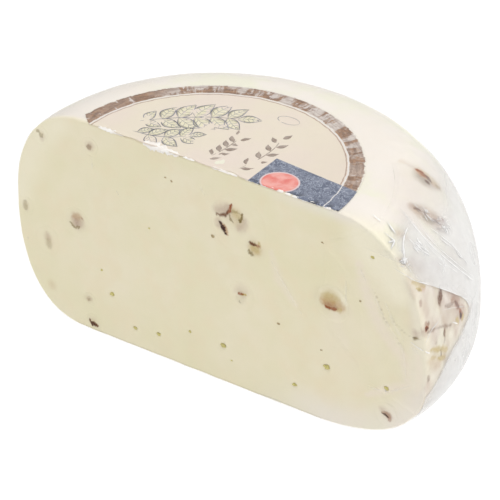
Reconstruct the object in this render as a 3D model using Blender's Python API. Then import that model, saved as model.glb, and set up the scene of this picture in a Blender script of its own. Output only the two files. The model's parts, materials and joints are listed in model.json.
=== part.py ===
"""Half a wheel of walnut caciotta, shrink-wrapped in clear film, with the half of its round paper label.

Units are metres, +Z is up. The half wheel stands on its flat base. The knife's face looks toward -Y and
leans back a little. The origin is on the floor, below the middle of the half wheel.

The half wheel is modelled out to the film that clings to it. The walnut pieces sit in pockets, cut
through by the knife or showing at the heel, and the label lies in the shallow bed that it pressed.
"""

import random
from math import asin, atan, cos, pi, radians, sin

import bmesh
import bpy
from mathutils import Matrix, Vector, noise

# Driving dimensions of the wheel.
WHEEL_RADIUS = 0.0900
WHEEL_HEIGHT = 0.0849
DEPTH_FACTOR = 0.95           # the wheel is a little shallower front to back than across
AXIS_BEHIND_CUT = 0.0108      # from the knife's face, at the base, back to the wheel's axis
CUT_LEAN = 0.05               # how far the knife's face leans back for each metre of height

# The heel bulges from the rim of the base's flat to the rim of the top's flat. Each value is the mean
# round the wheel, and its tilt is added toward +X and taken away toward -X.
TOP_FLAT = 0.0549
TOP_FLAT_TILT = -0.0040
BASE_FLAT = 0.0494
BASE_FLAT_TILT = -0.0086
BELLY_HEIGHT = 0.0401
BELLY_TILT = -0.0084
TOP_POWER = 2.15              # powers of the superellipse quarters above and below the belly
BASE_POWER = 2.42

# The paper label.
LABEL_RADIUS = 0.0561
LABEL_ACROSS = -0.0051        # the label's centre, off the wheel's axis
LABEL_BEHIND_CUT = 0.0044     # and behind the foot of the knife's face
LABEL_THICKNESS = 0.0005

GAP = 0.0003                  # clearance between pieces that touch

# How finely the wheel is faceted.
WHEEL_SEGMENTS = 96
HEEL_STEPS = 24
LABEL_SEGMENTS = 96

# Derived places.
AXIS_Y = AXIS_BEHIND_CUT - (AXIS_BEHIND_CUT + WHEEL_RADIUS * DEPTH_FACTOR) / 2
CUT_FOOT_Y = AXIS_Y - AXIS_BEHIND_CUT
LEAN_ANGLE = atan(CUT_LEAN)

# Walnut pieces in the knife's face: across from the middle, height, length, breadth, and the turn of the
# length from level, in degrees, counted anticlockwise from in front. The last word is the tone.
FACE_WALNUTS = (
    (0.0092, 0.0678, 0.0068, 0.0064, 20, "flesh"),
    (0.0044, 0.0705, 0.0052, 0.0018, 54, "skin"),
    (0.0034, 0.0626, 0.0046, 0.0023, -47, "skin"),
    (0.0169, 0.0590, 0.0056, 0.0050, -25, "flesh"),
    (0.0116, 0.0391, 0.0034, 0.0024, -10, "skin"),
    (0.0497, 0.0491, 0.0098, 0.0068, -11, "flesh"),
    (0.0736, 0.0127, 0.0042, 0.0020, -21, "skin"),
    (-0.0545, 0.0036, 0.0040, 0.0030, -35, "skin"),
    (-0.0618, 0.0430, 0.0060, 0.0056, 0, "dull"),
    (-0.0559, 0.0756, 0.0034, 0.0028, 0, "dull"),
    (-0.0770, 0.0735, 0.0040, 0.0020, -46, "dull"),
    (-0.0748, 0.0312, 0.0062, 0.0026, -70, "dull"),
    (-0.0852, 0.0419, 0.0036, 0.0020, -80, "dull"),
    (-0.0566, 0.0128, 0.0030, 0.0024, 0, "dull"),
)

# Walnut pieces in the heel: side, as the angle round the axis from +X in degrees, height, length,
# breadth, turn of the length from level as seen from outside, and tone.
HEEL_WALNUTS = (
    (35.0, 0.0785, 0.0105, 0.0046, 67, "skin"),
    (15.0, 0.0791, 0.0054, 0.0034, -77, "dull"),
    (18.8, 0.0729, 0.0096, 0.0062, -61, "dull"),
    (0.5, 0.0700, 0.0058, 0.0050, -36, "dull"),
    (7.5, 0.0660, 0.0070, 0.0058, -60, "dull"),
    (3.8, 0.0572, 0.0046, 0.0022, 54, "skin"),
    (8.6, 0.0524, 0.0058, 0.0026, -37, "skin"),
    (11.2, 0.0454, 0.0056, 0.0028, -82, "skin"),
    (-3.4, 0.0513, 0.0034, 0.0024, 12, "skin"),
    (2.0, 0.0447, 0.0046, 0.0017, 70, "skin"),
    (-0.3, 0.0404, 0.0094, 0.0019, -25, "flesh"),
    (-0.6, 0.0372, 0.0076, 0.0018, -27, "flesh"),
)

# Round the rest of the heel the pieces follow a rule: even steps round the side, at heights that jump
# by the golden ratio, with sizes and turns drawn at random.
BACK_WALNUTS = 9
BACK_SIDES = (50.0, 178.0)            # first and last angle round the axis, in degrees
BACK_HEIGHTS = (0.016, 0.076)
BACK_LENGTHS = (0.0045, 0.0095)
BACK_BREADTHS = (0.45, 0.85)          # share of the length
GOLDEN_STEP = 0.618
BACK_SEED = 11

# A walnut piece as a knobbly crumb.
CRUMB_DEPTH = 0.75            # depth into the cheese, as a share of the breadth
CRUMB_LEAST_DEPTH = 0.0022
CRUMB_KNOBS = 0.30            # how far the knobs stand in or out, as a share of the radius
CRUMB_KNOB_SCALE = 2.6        # how many knobs fit across a crumb

COLOURS = {                   # linear colour, roughness
    "paste": ((0.79, 0.72, 0.52), 0.45),
    "paper": ((0.80, 0.70, 0.55), 0.60),
    "flesh": ((0.52, 0.37, 0.20), 0.65),
    "skin": ((0.22, 0.10, 0.045), 0.60),
    "dull": ((0.48, 0.38, 0.27), 0.60),
}


def clear_scene():
    """Remove every object that the file holds."""
    for old in list(bpy.data.objects):
        bpy.data.objects.remove(old, do_unlink=True)


def new_collection(name):
    """A collection of its own under the scene."""
    collection = bpy.data.collections.new(name)
    bpy.context.scene.collection.children.link(collection)
    return collection


def move_to(item, collection):
    """Take an object out of the collections it is in and put it in one."""
    for old in list(item.users_collection):
        old.objects.unlink(item)
    collection.objects.link(item)


def food_material(name, tone):
    """A plain Principled material in one of the named colours."""
    material = bpy.data.materials.new(name)
    material.use_nodes = True
    shader = material.node_tree.nodes["Principled BSDF"]
    colour, roughness = COLOURS[tone]
    shader.inputs["Base Color"].default_value = (*colour, 1.0)
    shader.inputs["Roughness"].default_value = roughness
    shader.inputs["Metallic"].default_value = 0.0
    return material


def hide_cutter(item, cutters):
    """Mark an object as a cutter: a wire guide that isn't part of the food."""
    move_to(item, cutters)
    item.hide_render = True
    item.display_type = "WIRE"


def add_boolean(item, name, operation, cutter=None, cutters=None):
    """Cut or clip an object by another, or by all of a collection, with the exact solver."""
    boolean = item.modifiers.new(name, "BOOLEAN")
    boolean.operation = operation
    boolean.solver = "EXACT"
    if cutters is None:
        boolean.object = cutter
    else:
        boolean.operand_type = "COLLECTION"
        boolean.collection = cutters


def heel_quarter(side, above):
    """Rim radius of the flat, superellipse power, belly height and rise of one quarter of the heel."""
    tilt = cos(side)
    belly = BELLY_HEIGHT + BELLY_TILT * tilt
    if above:
        return TOP_FLAT + TOP_FLAT_TILT * tilt, TOP_POWER, belly, WHEEL_HEIGHT - belly
    return BASE_FLAT + BASE_FLAT_TILT * tilt, BASE_POWER, belly, -belly


def heel_point(side, bend):
    """Point of the heel at an angle round the axis.

    The bend runs from -pi/2 at the rim of the base's flat, through 0 at the belly, to pi/2 at the rim
    of the top's flat. Radius and height follow cos and sin of it to the power 2 / n, a superellipse.
    """
    flat, power, belly, rise = heel_quarter(side, bend > 0)
    radius = flat + (WHEEL_RADIUS - flat) * abs(cos(bend)) ** (2 / power)
    height = belly + rise * abs(sin(bend)) ** (2 / power)
    return Vector((radius * cos(side), AXIS_Y + DEPTH_FACTOR * radius * sin(side), height))


def heel_bend(side, height):
    """The bend at which the heel has a height: heel_point turned round."""
    belly = heel_quarter(side, True)[2]
    above = height > belly
    _, power, belly, rise = heel_quarter(side, above)
    bend = asin(((height - belly) / rise) ** (power / 2))
    return bend if above else -bend


def make_wheel(name):
    """The whole wheel: a loft round the axis between heel sections that differ from side to side."""
    loft = bmesh.new()
    rings = []
    for step in range(HEEL_STEPS + 1):
        bend = pi * (step / HEEL_STEPS - 0.5)
        sides = (2 * pi * segment / WHEEL_SEGMENTS for segment in range(WHEEL_SEGMENTS))
        rings.append([loft.verts.new(heel_point(side, bend)) for side in sides])
    for low, high in zip(rings, rings[1:]):
        for here in range(WHEEL_SEGMENTS):
            ahead = (here + 1) % WHEEL_SEGMENTS
            loft.faces.new((low[here], low[ahead], high[ahead], high[here]))
    loft.faces.new(reversed(rings[0]))
    loft.faces.new(rings[-1])
    mesh = bpy.data.meshes.new(name)
    loft.to_mesh(mesh)
    loft.free()
    return bpy.data.objects.new(name, mesh)


def make_knife(cutters):
    """The block that takes away the other half: its rear side is the knife's leaning face."""
    block = 4 * WHEEL_RADIUS
    bpy.ops.mesh.primitive_cube_add(size=block)
    knife = bpy.context.object
    knife.name = "knife"
    lean = Matrix.Rotation(-LEAN_ANGLE, 4, "X")
    knife.matrix_world = Matrix.Translation((0, CUT_FOOT_Y, 0)) @ lean @ Matrix.Translation((0, -block / 2, 0))
    hide_cutter(knife, cutters)
    return knife


def make_disc(name, radius, low, high):
    """An upright disc on the label's centre, from one height to another."""
    bpy.ops.mesh.primitive_cylinder_add(
        vertices=LABEL_SEGMENTS,
        radius=radius,
        depth=high - low,
        location=(LABEL_ACROSS, CUT_FOOT_Y + LABEL_BEHIND_CUT, (low + high) / 2),
    )
    disc = bpy.context.object
    disc.name = name
    return disc


def crumb_mesh(name, size, seed, grow=0.0):
    """A knobbly crumb: an icosphere whose radius follows smooth noise, stretched to its size.

    grow moves every point out along its normal, which gives the pocket that the crumb sits in.
    """
    crumb = bmesh.new()
    bmesh.ops.create_icosphere(crumb, subdivisions=2, radius=0.5)
    shift = Vector((seed * 1.7, seed * 2.9, seed * 0.8))
    for vert in crumb.verts:
        knob = noise.noise(vert.co * CRUMB_KNOB_SCALE + shift)
        vert.co *= 1 + CRUMB_KNOBS * knob
    bmesh.ops.scale(crumb, vec=size, verts=crumb.verts)
    crumb.normal_update()
    for vert in crumb.verts:
        vert.co += vert.normal * grow
    mesh = bpy.data.meshes.new(name)
    crumb.to_mesh(mesh)
    crumb.free()
    return mesh


def face_frame(across, height):
    """Axes on the knife's face: right, up the lean, and out toward the front."""
    place = Matrix.Translation((across, CUT_FOOT_Y + CUT_LEAN * height, height))
    return place @ Matrix.Rotation(pi / 2 - LEAN_ANGLE, 4, "X")


def heel_frame(side, height):
    """Axes on the heel: level to the right as seen from outside, up, and straight out."""
    bend = heel_bend(side, height)
    step = 0.001
    level = (heel_point(side + step, bend) - heel_point(side - step, bend)).normalized()
    up = heel_point(side, bend + step) - heel_point(side, bend - step)
    out = level.cross(up).normalized()
    axes = Matrix((level, out.cross(level), out)).transposed().to_4x4()
    return Matrix.Translation(heel_point(side, bend)) @ axes


def make_walnut(name, frame, row, seed, whole, parts, pockets):
    """One walnut piece, flush with the skin that it shows at, and the pocket that it sits in.

    The row holds the length, breadth, turn and tone.
    """
    length, breadth, turn, tone = row
    depth = max(CRUMB_DEPTH * breadth, CRUMB_LEAST_DEPTH)
    size = (length, breadth, 2 * depth)
    place = frame @ Matrix.Rotation(radians(turn), 4, "Z")
    walnut = bpy.data.objects.new(name, crumb_mesh(name, size, seed))
    walnut.matrix_world = place
    walnut.data.materials.append(food_material(name, tone))
    parts.objects.link(walnut)
    add_boolean(walnut, "flush", "INTERSECT", cutter=whole)
    pocket = bpy.data.objects.new("pocket_" + name, crumb_mesh("pocket_" + name, size, seed, GAP))
    pocket.matrix_world = place
    hide_cutter(pocket, pockets)


def back_walnuts():
    """Rows for the heel's rear, like HEEL_WALNUTS, worked out by the rule above."""
    draw = random.Random(BACK_SEED)
    rows = []
    for index in range(BACK_WALNUTS):
        share = index / (BACK_WALNUTS - 1)
        side = BACK_SIDES[0] + (BACK_SIDES[1] - BACK_SIDES[0]) * share
        jump = (index * GOLDEN_STEP) % 1.0
        height = BACK_HEIGHTS[0] + (BACK_HEIGHTS[1] - BACK_HEIGHTS[0]) * jump
        length = draw.uniform(*BACK_LENGTHS)
        breadth = length * draw.uniform(*BACK_BREADTHS)
        turn = draw.uniform(-90, 90)
        rows.append((side, height, length, breadth, turn, draw.choice(("skin", "dull"))))
    return rows


def make_walnuts(whole, parts, pockets):
    """Every walnut piece, named by where it shows."""
    seed = 1
    for number, (across, height, *row) in enumerate(FACE_WALNUTS, 1):
        frame = face_frame(across, height)
        make_walnut(f"walnut_face_{number:02d}", frame, row, seed, whole, parts, pockets)
        seed += 1
    for place, rows in (("heel", HEEL_WALNUTS), ("back", back_walnuts())):
        for number, (side, height, *row) in enumerate(rows, 1):
            frame = heel_frame(radians(side), height)
            make_walnut(f"walnut_{place}_{number:02d}", frame, row, seed, whole, parts, pockets)
            seed += 1


def make_label(knife, parts):
    """The label: a paper disc cut through by the same knife, its top level with the wheel's top."""
    label = make_disc("label", LABEL_RADIUS, WHEEL_HEIGHT - LABEL_THICKNESS, WHEEL_HEIGHT)
    move_to(label, parts)
    label.data.materials.append(food_material("label", "paper"))
    add_boolean(label, "knife", "DIFFERENCE", cutter=knife)


def make_cheese(wheel_mesh, knife, bed, parts, pockets):
    """The half wheel: the wheel less the other half, the label's bed and the walnuts' pockets."""
    cheese = bpy.data.objects.new("cheese_half", wheel_mesh.copy())
    parts.objects.link(cheese)
    cheese.data.materials.append(food_material("cheese_half", "paste"))
    add_boolean(cheese, "knife", "DIFFERENCE", cutter=knife)
    add_boolean(cheese, "label_bed", "DIFFERENCE", cutter=bed)
    add_boolean(cheese, "pockets", "DIFFERENCE", cutters=pockets)
    cheese.data.shade_smooth()
    cheese.data.set_sharp_from_angle(angle=radians(30))


def main():
    """Build the half wheel."""
    clear_scene()
    parts = new_collection("caciotta")
    cutters = new_collection("cutters")
    pockets = bpy.data.collections.new("pockets")
    cutters.children.link(pockets)

    knife = make_knife(cutters)
    whole = make_wheel("skin")
    hide_cutter(whole, cutters)
    add_boolean(whole, "knife", "DIFFERENCE", cutter=knife)
    bed_floor = WHEEL_HEIGHT - LABEL_THICKNESS - GAP
    bed = make_disc("label_bed", LABEL_RADIUS + GAP, bed_floor, WHEEL_HEIGHT + LABEL_THICKNESS)
    hide_cutter(bed, cutters)

    make_walnuts(whole, parts, pockets)
    make_label(knife, parts)
    make_cheese(whole.data, knife, bed, parts, pockets)


main()
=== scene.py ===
"""Looks of half a wheel of walnut caciotta in clear shrink film.

Metres, +Z up, the knife's face toward -Y. In the tables, a place on the knife's face is millimetres
across and up. A place on the heel is its side, in degrees round the axis from +X, and its height in mm.
"""

import json
import math

import bpy
import numpy as np
from mathutils import Matrix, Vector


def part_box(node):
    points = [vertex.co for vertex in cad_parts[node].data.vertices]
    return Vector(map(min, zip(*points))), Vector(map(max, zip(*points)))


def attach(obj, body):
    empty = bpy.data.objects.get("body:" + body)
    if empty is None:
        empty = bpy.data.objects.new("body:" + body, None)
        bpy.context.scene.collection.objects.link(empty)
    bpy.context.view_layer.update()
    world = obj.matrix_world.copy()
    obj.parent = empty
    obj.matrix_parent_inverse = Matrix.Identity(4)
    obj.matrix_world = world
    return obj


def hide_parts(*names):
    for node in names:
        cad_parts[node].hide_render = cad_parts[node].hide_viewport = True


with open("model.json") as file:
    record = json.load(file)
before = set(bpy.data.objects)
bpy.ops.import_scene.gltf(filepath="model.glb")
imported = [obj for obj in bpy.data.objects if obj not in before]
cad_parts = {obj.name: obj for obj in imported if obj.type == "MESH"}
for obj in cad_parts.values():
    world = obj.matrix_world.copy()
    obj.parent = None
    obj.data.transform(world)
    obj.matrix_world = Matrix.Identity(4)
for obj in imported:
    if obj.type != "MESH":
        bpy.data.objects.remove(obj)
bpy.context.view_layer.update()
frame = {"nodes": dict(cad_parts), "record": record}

# ================================================================ sizes
# The half wheel, as the CAD solid has it
LOW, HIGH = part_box("cheese_half")
WHEEL_RADIUS = HIGH.x
WHEEL_HEIGHT = HIGH.z
CUT_FOOT_Y = LOW.y                # foot of the knife's face
AXIS_Y = CUT_FOOT_Y + 0.0108
DEPTH_FACTOR = 0.95               # front to back against across
CUT_LEAN = 0.05                   # the knife's face leans back by this share of the height
TOP_FLAT, TOP_TILT, TOP_POWER = 0.0549, -0.0040, 2.15
BASE_FLAT, BASE_TILT, BASE_POWER = 0.0494, -0.0086, 2.42
BELLY, BELLY_TILT = 0.0401, -0.0084
EDGE_ROUNDING = 0.0011            # of the edge between the knife's face and the rind
HEART = np.array((0.0, CUT_FOOT_Y + 0.042, WHEEL_HEIGHT / 2))     # rays from here find the skin
RING_RADIUS, RING_HEIGHT = 0.045, 0.042     # ring inside the heel, from which tilts are measured

# Depth of each layer under the CAD skin
FILM_DEPTH = -0.00004
LABEL_DEPTH = 0.00005
CRUMB_DEPTH = 0.00012
PASTE_DEPTH = 0.00028
PAPER = 0.00012                   # thickness of the label's paper

LABEL_LOW, LABEL_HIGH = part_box("label")
LABEL_RADIUS = (LABEL_HIGH.x - LABEL_LOW.x) / 2
LABEL_X = (LABEL_HIGH.x + LABEL_LOW.x) / 2
LABEL_Y = LABEL_HIGH.y - LABEL_RADIUS
CUT_TOP_Y = CUT_FOOT_Y + CUT_LEAN * WHEEL_HEIGHT
# The print: radius of the ring and of its rules, the slate band about its middle, and the oval on it
RING_INNER, THIN_RULE = 0.0505, (0.0492, 0.0496)
PALE_RULE, RULE_ON_BAND = (0.0499, 0.0504), (0.0499, 0.0503)
BAND_X, BAND_Y, BAND_TURN, BAND_SLANT = 0.0325, CUT_FOOT_Y + 0.0110, math.radians(-4.6), 0.107
BAND_ALONG, BAND_OVER = (-0.0190, 0.0300), (-0.0120, 0.0094)
OVAL_ALONG, OVAL_OVER, OVAL_LONG, OVAL_HIGH = -0.0088, -0.0022, 0.0068, 0.0062

# The camera, as fitted to the photograph
CAMERA_AZIMUTH = 36.56
CAMERA_ELEVATION = 31.83
CAMERA_ROLL = -1.12
CAMERA_DISTANCE = 1.245
CAMERA_TARGET = (0.0173, CUT_FOOT_Y, 0.06005)
FOCAL_PIXELS, PHOTO_PIXELS, SENSOR_MM = 3600.0, 500.0, 36.0
# Soft lights: name, place, aim, width and length in metres, and watts
LIGHTS = (
    ("overhead", (0.0, 0.1, 1.3), (0, 0, 0), 1.6, 1.2, 8.2),
    ("front_left", (-0.7, -1.3, 0.9), (0, 0, 0.04), 1.0, 0.8, 3.5),
    ("right_strip", (1.2, 0.2, 0.9), (0.05, 0, 0.04), 0.25, 1.0, 6.0),
    ("rear_right_strip", (0.55, 1.2, 0.35), (0.05, 0, 0.04), 0.12, 1.2, 1.8),
)
FLOOR_SIZE, FLOOR_GREY, FLOOR_GLOW, SKY_GLOW = 6.0, 0.3, 0.82, 0.50

# Small eyes that weep whey: place on the knife's face and radius, in mm
EYES = (
    (-46.0, 18.4, 1.0), (-35.5, 7.9, 0.8), (-24.9, 9.2, 0.9), (-11.0, 15.3, 0.7), (3.8, 14.7, 1.2),
    (48.3, 22.3, 1.2), (34.8, 10.2, 1.0), (-50.7, 26.8, 0.6), (7.6, 10.0, 0.5), (65.9, 72.1, 0.8),
    (73.3, 23.0, 0.9), (-29.2, 51.2, 0.5),
)
# Tiny flecks of walnut skin, in the same way
FLECKS = (
    (27.6, 32.5, 0.6), (-1.2, 57.6, 0.6), (-19.2, 73.5, 0.4), (-21.9, 74.1, 0.4), (45.3, 70.9, 0.4),
    (46.0, 28.4, 0.4), (61.5, 53.5, 0.4),
)
# Soft marks in the knife's face: tone, half width in mm, strength, then the places of a few points
FACE_MARKS = (
    # the large pair of pieces and what surrounds it
    ("mauve", 2.60, 0.55, (0.6, 68.9), (3.8, 69.5), (5.5, 71.2)),
    ("rust", 0.50, 1.00, (6.6, 72.9), (6.4, 71.6), (6.0, 70.4), (5.1, 69.1)),
    ("umber", 0.55, 0.85, (0.4, 67.0), (3.0, 67.5), (4.7, 68.6), (5.5, 69.9)),
    ("bark", 0.70, 1.00, (1.9, 64.2), (2.6, 63.5), (3.5, 62.2), (4.5, 60.6)),
    ("gold", 0.55, 0.60, (3.2, 64.0), (4.4, 62.5), (5.2, 60.4)),
    ("mauve", 1.60, 0.40, (1.3, 65.3), (1.1, 62.6)),
    ("ochre", 1.90, 0.42, (7.5, 70.6), (9.4, 69.8), (10.6, 68.5)),
    ("olive", 0.60, 0.90, (11.5, 70.4), (11.2, 68.8), (10.4, 66.9)),
    ("olive", 0.36, 0.60, (6.0, 69.0), (6.3, 67.2), (7.7, 66.2)),
    ("olive", 0.35, 0.40, (5.1, 68.7), (7.7, 70.4), (10.7, 70.6)),
    ("mauve", 1.70, 0.40, (12.9, 68.5), (12.0, 66.3), (9.9, 64.4)),
    # the small golden one below it
    ("umber", 0.50, 1.00, (14.7, 60.6), (16.2, 60.4), (17.5, 60.4)),
    ("rust", 0.45, 0.75, (17.3, 60.3), (18.5, 60.4), (19.4, 60.3)),
    ("ochre", 2.10, 0.55, (16.0, 58.6), (17.4, 59.0), (17.9, 57.8)),
    ("olive", 0.60, 0.85, (14.6, 57.2), (15.2, 56.6), (16.0, 56.1)),
    ("ochre", 0.50, 0.60, (18.7, 61.6), (19.4, 60.7)),
    # the large golden one at the right
    ("ochre", 2.40, 0.45, (47.1, 50.8), (49.2, 51.6), (51.7, 51.4)),
    ("tan", 2.20, 0.75, (46.4, 48.3), (48.6, 48.4), (50.9, 49.0)),
    ("tan", 1.90, 0.50, (51.3, 49.4), (53.0, 48.5), (54.3, 48.0)),
    ("rust", 1.30, 0.42, (47.2, 47.3), (49.3, 47.2), (51.8, 47.3)),
    ("rust", 0.55, 1.00, (47.2, 46.8), (48.5, 46.4), (49.3, 46.4)),
    ("rust", 0.50, 0.90, (49.1, 46.4), (50.6, 46.7), (52.0, 47.0)),
    ("ochre", 0.70, 0.40, (51.8, 46.5), (53.9, 47.3)),
    # the greyish one at the left
    ("mauve", 2.30, 0.75, (-62.7, 44.4), (-61.5, 43.5), (-62.0, 41.7)),
    ("tan", 1.40, 0.40, (-63.3, 44.8), (-60.1, 45.6)),
    ("olive", 0.45, 0.60, (-64.8, 41.8), (-63.4, 40.8), (-62.3, 40.2)),
    ("olive", 0.45, 0.60, (-62.3, 40.2), (-61.1, 41.2), (-60.4, 41.6)),
    ("rust", 0.35, 0.40, (-59.7, 45.2), (-59.0, 44.8)),
    # small ones
    ("mauve", 2.10, 0.20, (9.4, 39.4), (11.5, 40.4), (13.7, 40.4)),
    ("rust", 0.50, 0.80, (10.4, 38.8), (11.3, 38.8), (12.3, 39.0)),
    ("ochre", 0.45, 0.85, (11.3, 38.6), (12.4, 38.8), (13.5, 39.2)),
    ("olive", 1.60, 0.14, (9.9, 36.9), (11.2, 36.3), (12.4, 38.0)),
    ("olive", 0.30, 0.45, (10.7, 35.5), (11.0, 35.4)),
    ("mauve", 1.60, 0.32, (71.7, 14.2), (73.8, 13.0), (75.5, 11.6)),
    ("umber", 0.30, 0.60, (71.7, 12.9), (72.6, 12.5)),
    ("bark", 0.42, 0.85, (72.6, 12.6), (73.9, 12.1), (74.7, 11.7)),
    ("rust", 0.90, 0.45, (73.0, 13.3), (74.7, 12.7), (75.2, 11.0)),
    ("umber", 0.55, 0.95, (-56.3, 4.3), (-55.6, 3.3), (-54.9, 2.2)),
    ("umber", 0.65, 0.95, (-55.1, 3.4), (-53.7, 3.1), (-52.6, 2.6)),
    ("bark", 0.50, 0.60, (-55.6, 3.3), (-53.7, 2.4)),
    ("olive", 0.50, 0.90, (83.6, 47.2), (84.4, 47.0), (85.2, 47.1)),
    ("bark", 0.30, 0.60, (84.0, 47.1), (84.8, 47.0)),
    ("mauve", 1.30, 0.50, (84.0, 49.8), (84.9, 48.1)),
    # painted highlight: a cream streak standing for a glint of the film above the golden piece
    ("cream", 1.30, 0.60, (45.5, 52.0), (48.5, 53.8), (52.5, 53.2), (55.8, 50.2)),
    # faint ones, just under the surface
    ("olive", 0.55, 0.50, (-79.3, 74.6), (-78.8, 74.1)),
    ("olive", 0.80, 0.45, (-78.1, 73.5), (-77.4, 72.9)),
    ("mauve", 0.90, 0.25, (-77.6, 72.1), (-77.1, 71.6)),
    ("umber", 0.80, 0.45, (-56.6, 75.2), (-55.2, 75.3)),
    ("mauve", 1.50, 0.25, (-55.9, 76.6), (-54.8, 75.0)),
    ("mauve", 1.30, 0.30, (-75.8, 33.3), (-75.1, 31.5)),
    ("olive", 1.30, 0.28, (-75.4, 31.0), (-74.7, 28.3)),
    ("olive", 0.90, 0.32, (-85.7, 43.7), (-85.5, 40.4)),
    ("mauve", 0.90, 0.30, (-56.9, 12.7), (-55.9, 12.8)),
    ("olive", 0.40, 0.30, (-57.1, 11.8), (-56.2, 13.2)),
    ("tan", 1.80, 0.22, (-74.3, 13.3), (-73.1, 12.0)),
    # paler paste near the rind; the marks at the top right and down the right rim are painted light
    # painted light: brightens the top right of the face, which the lamps light too little
    ("cream", 9.00, 1.00, (60.0, 78.0), (70.0, 71.0), (77.0, 62.0)),
    ("cream", 5.00, 0.25, (67.5, 56.8), (68.9, 46.5), (68.6, 33.9), (71.7, 25.6)),
    ("cream", 8.00, 0.30, (76.9, 54.9), (78.2, 45.6), (77.8, 33.0)),
    # painted light: the lit sides of film folds down the face's right rim
    ("cream", 3.20, 0.65, (84.4, 59.0), (86.2, 51.1), (87.4, 44.0), (87.1, 36.1), (86.0, 29.0)),
    ("cream", 6.00, 0.65, (-70.0, 79.0), (-79.0, 71.0), (-84.5, 60.0), (-88.0, 46.0)),
    # pale bands where the film is folded, partly its milkiness and partly painted light on the folds' lit
    # sides, and the thin painted shadows beside them
    ("pale", 2.00, 0.50, (24.1, 59.7), (26.8, 51.9), (30.7, 46.5), (34.7, 42.6)),
    ("pale", 2.20, 0.50, (26.4, 51.3), (27.7, 48.6)),
    ("pale", 2.90, 0.75, (60.7, 67.6), (63.0, 60.5), (65.7, 53.6), (69.7, 47.1), (74.4, 42.1), (79.9, 37.0),
     (81.9, 29.3)),
    ("pale", 3.50, 0.40, (51.5, 45.0), (52.9, 39.9), (56.0, 34.2)),
    ("pale", 2.00, 0.80, (65.7, 17.7), (72.3, 21.7), (77.5, 24.9), (82.8, 27.6)),
    ("pale", 1.80, 0.60, (85.9, 40.4), (86.6, 33.5), (85.7, 25.5)),
    # painted shadows: thin olive lines beside the folds
    ("olive", 0.30, 0.32, (66.7, 60.3), (72.0, 49.6), (77.2, 43.5), (79.8, 40.5)),
    ("olive", 0.24, 0.25, (75.3, 50.7), (78.6, 48.4), (82.0, 46.8)),
    ("pale", 16.00, 0.20, (56.0, 34.2), (62.6, 23.4)),
)
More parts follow.
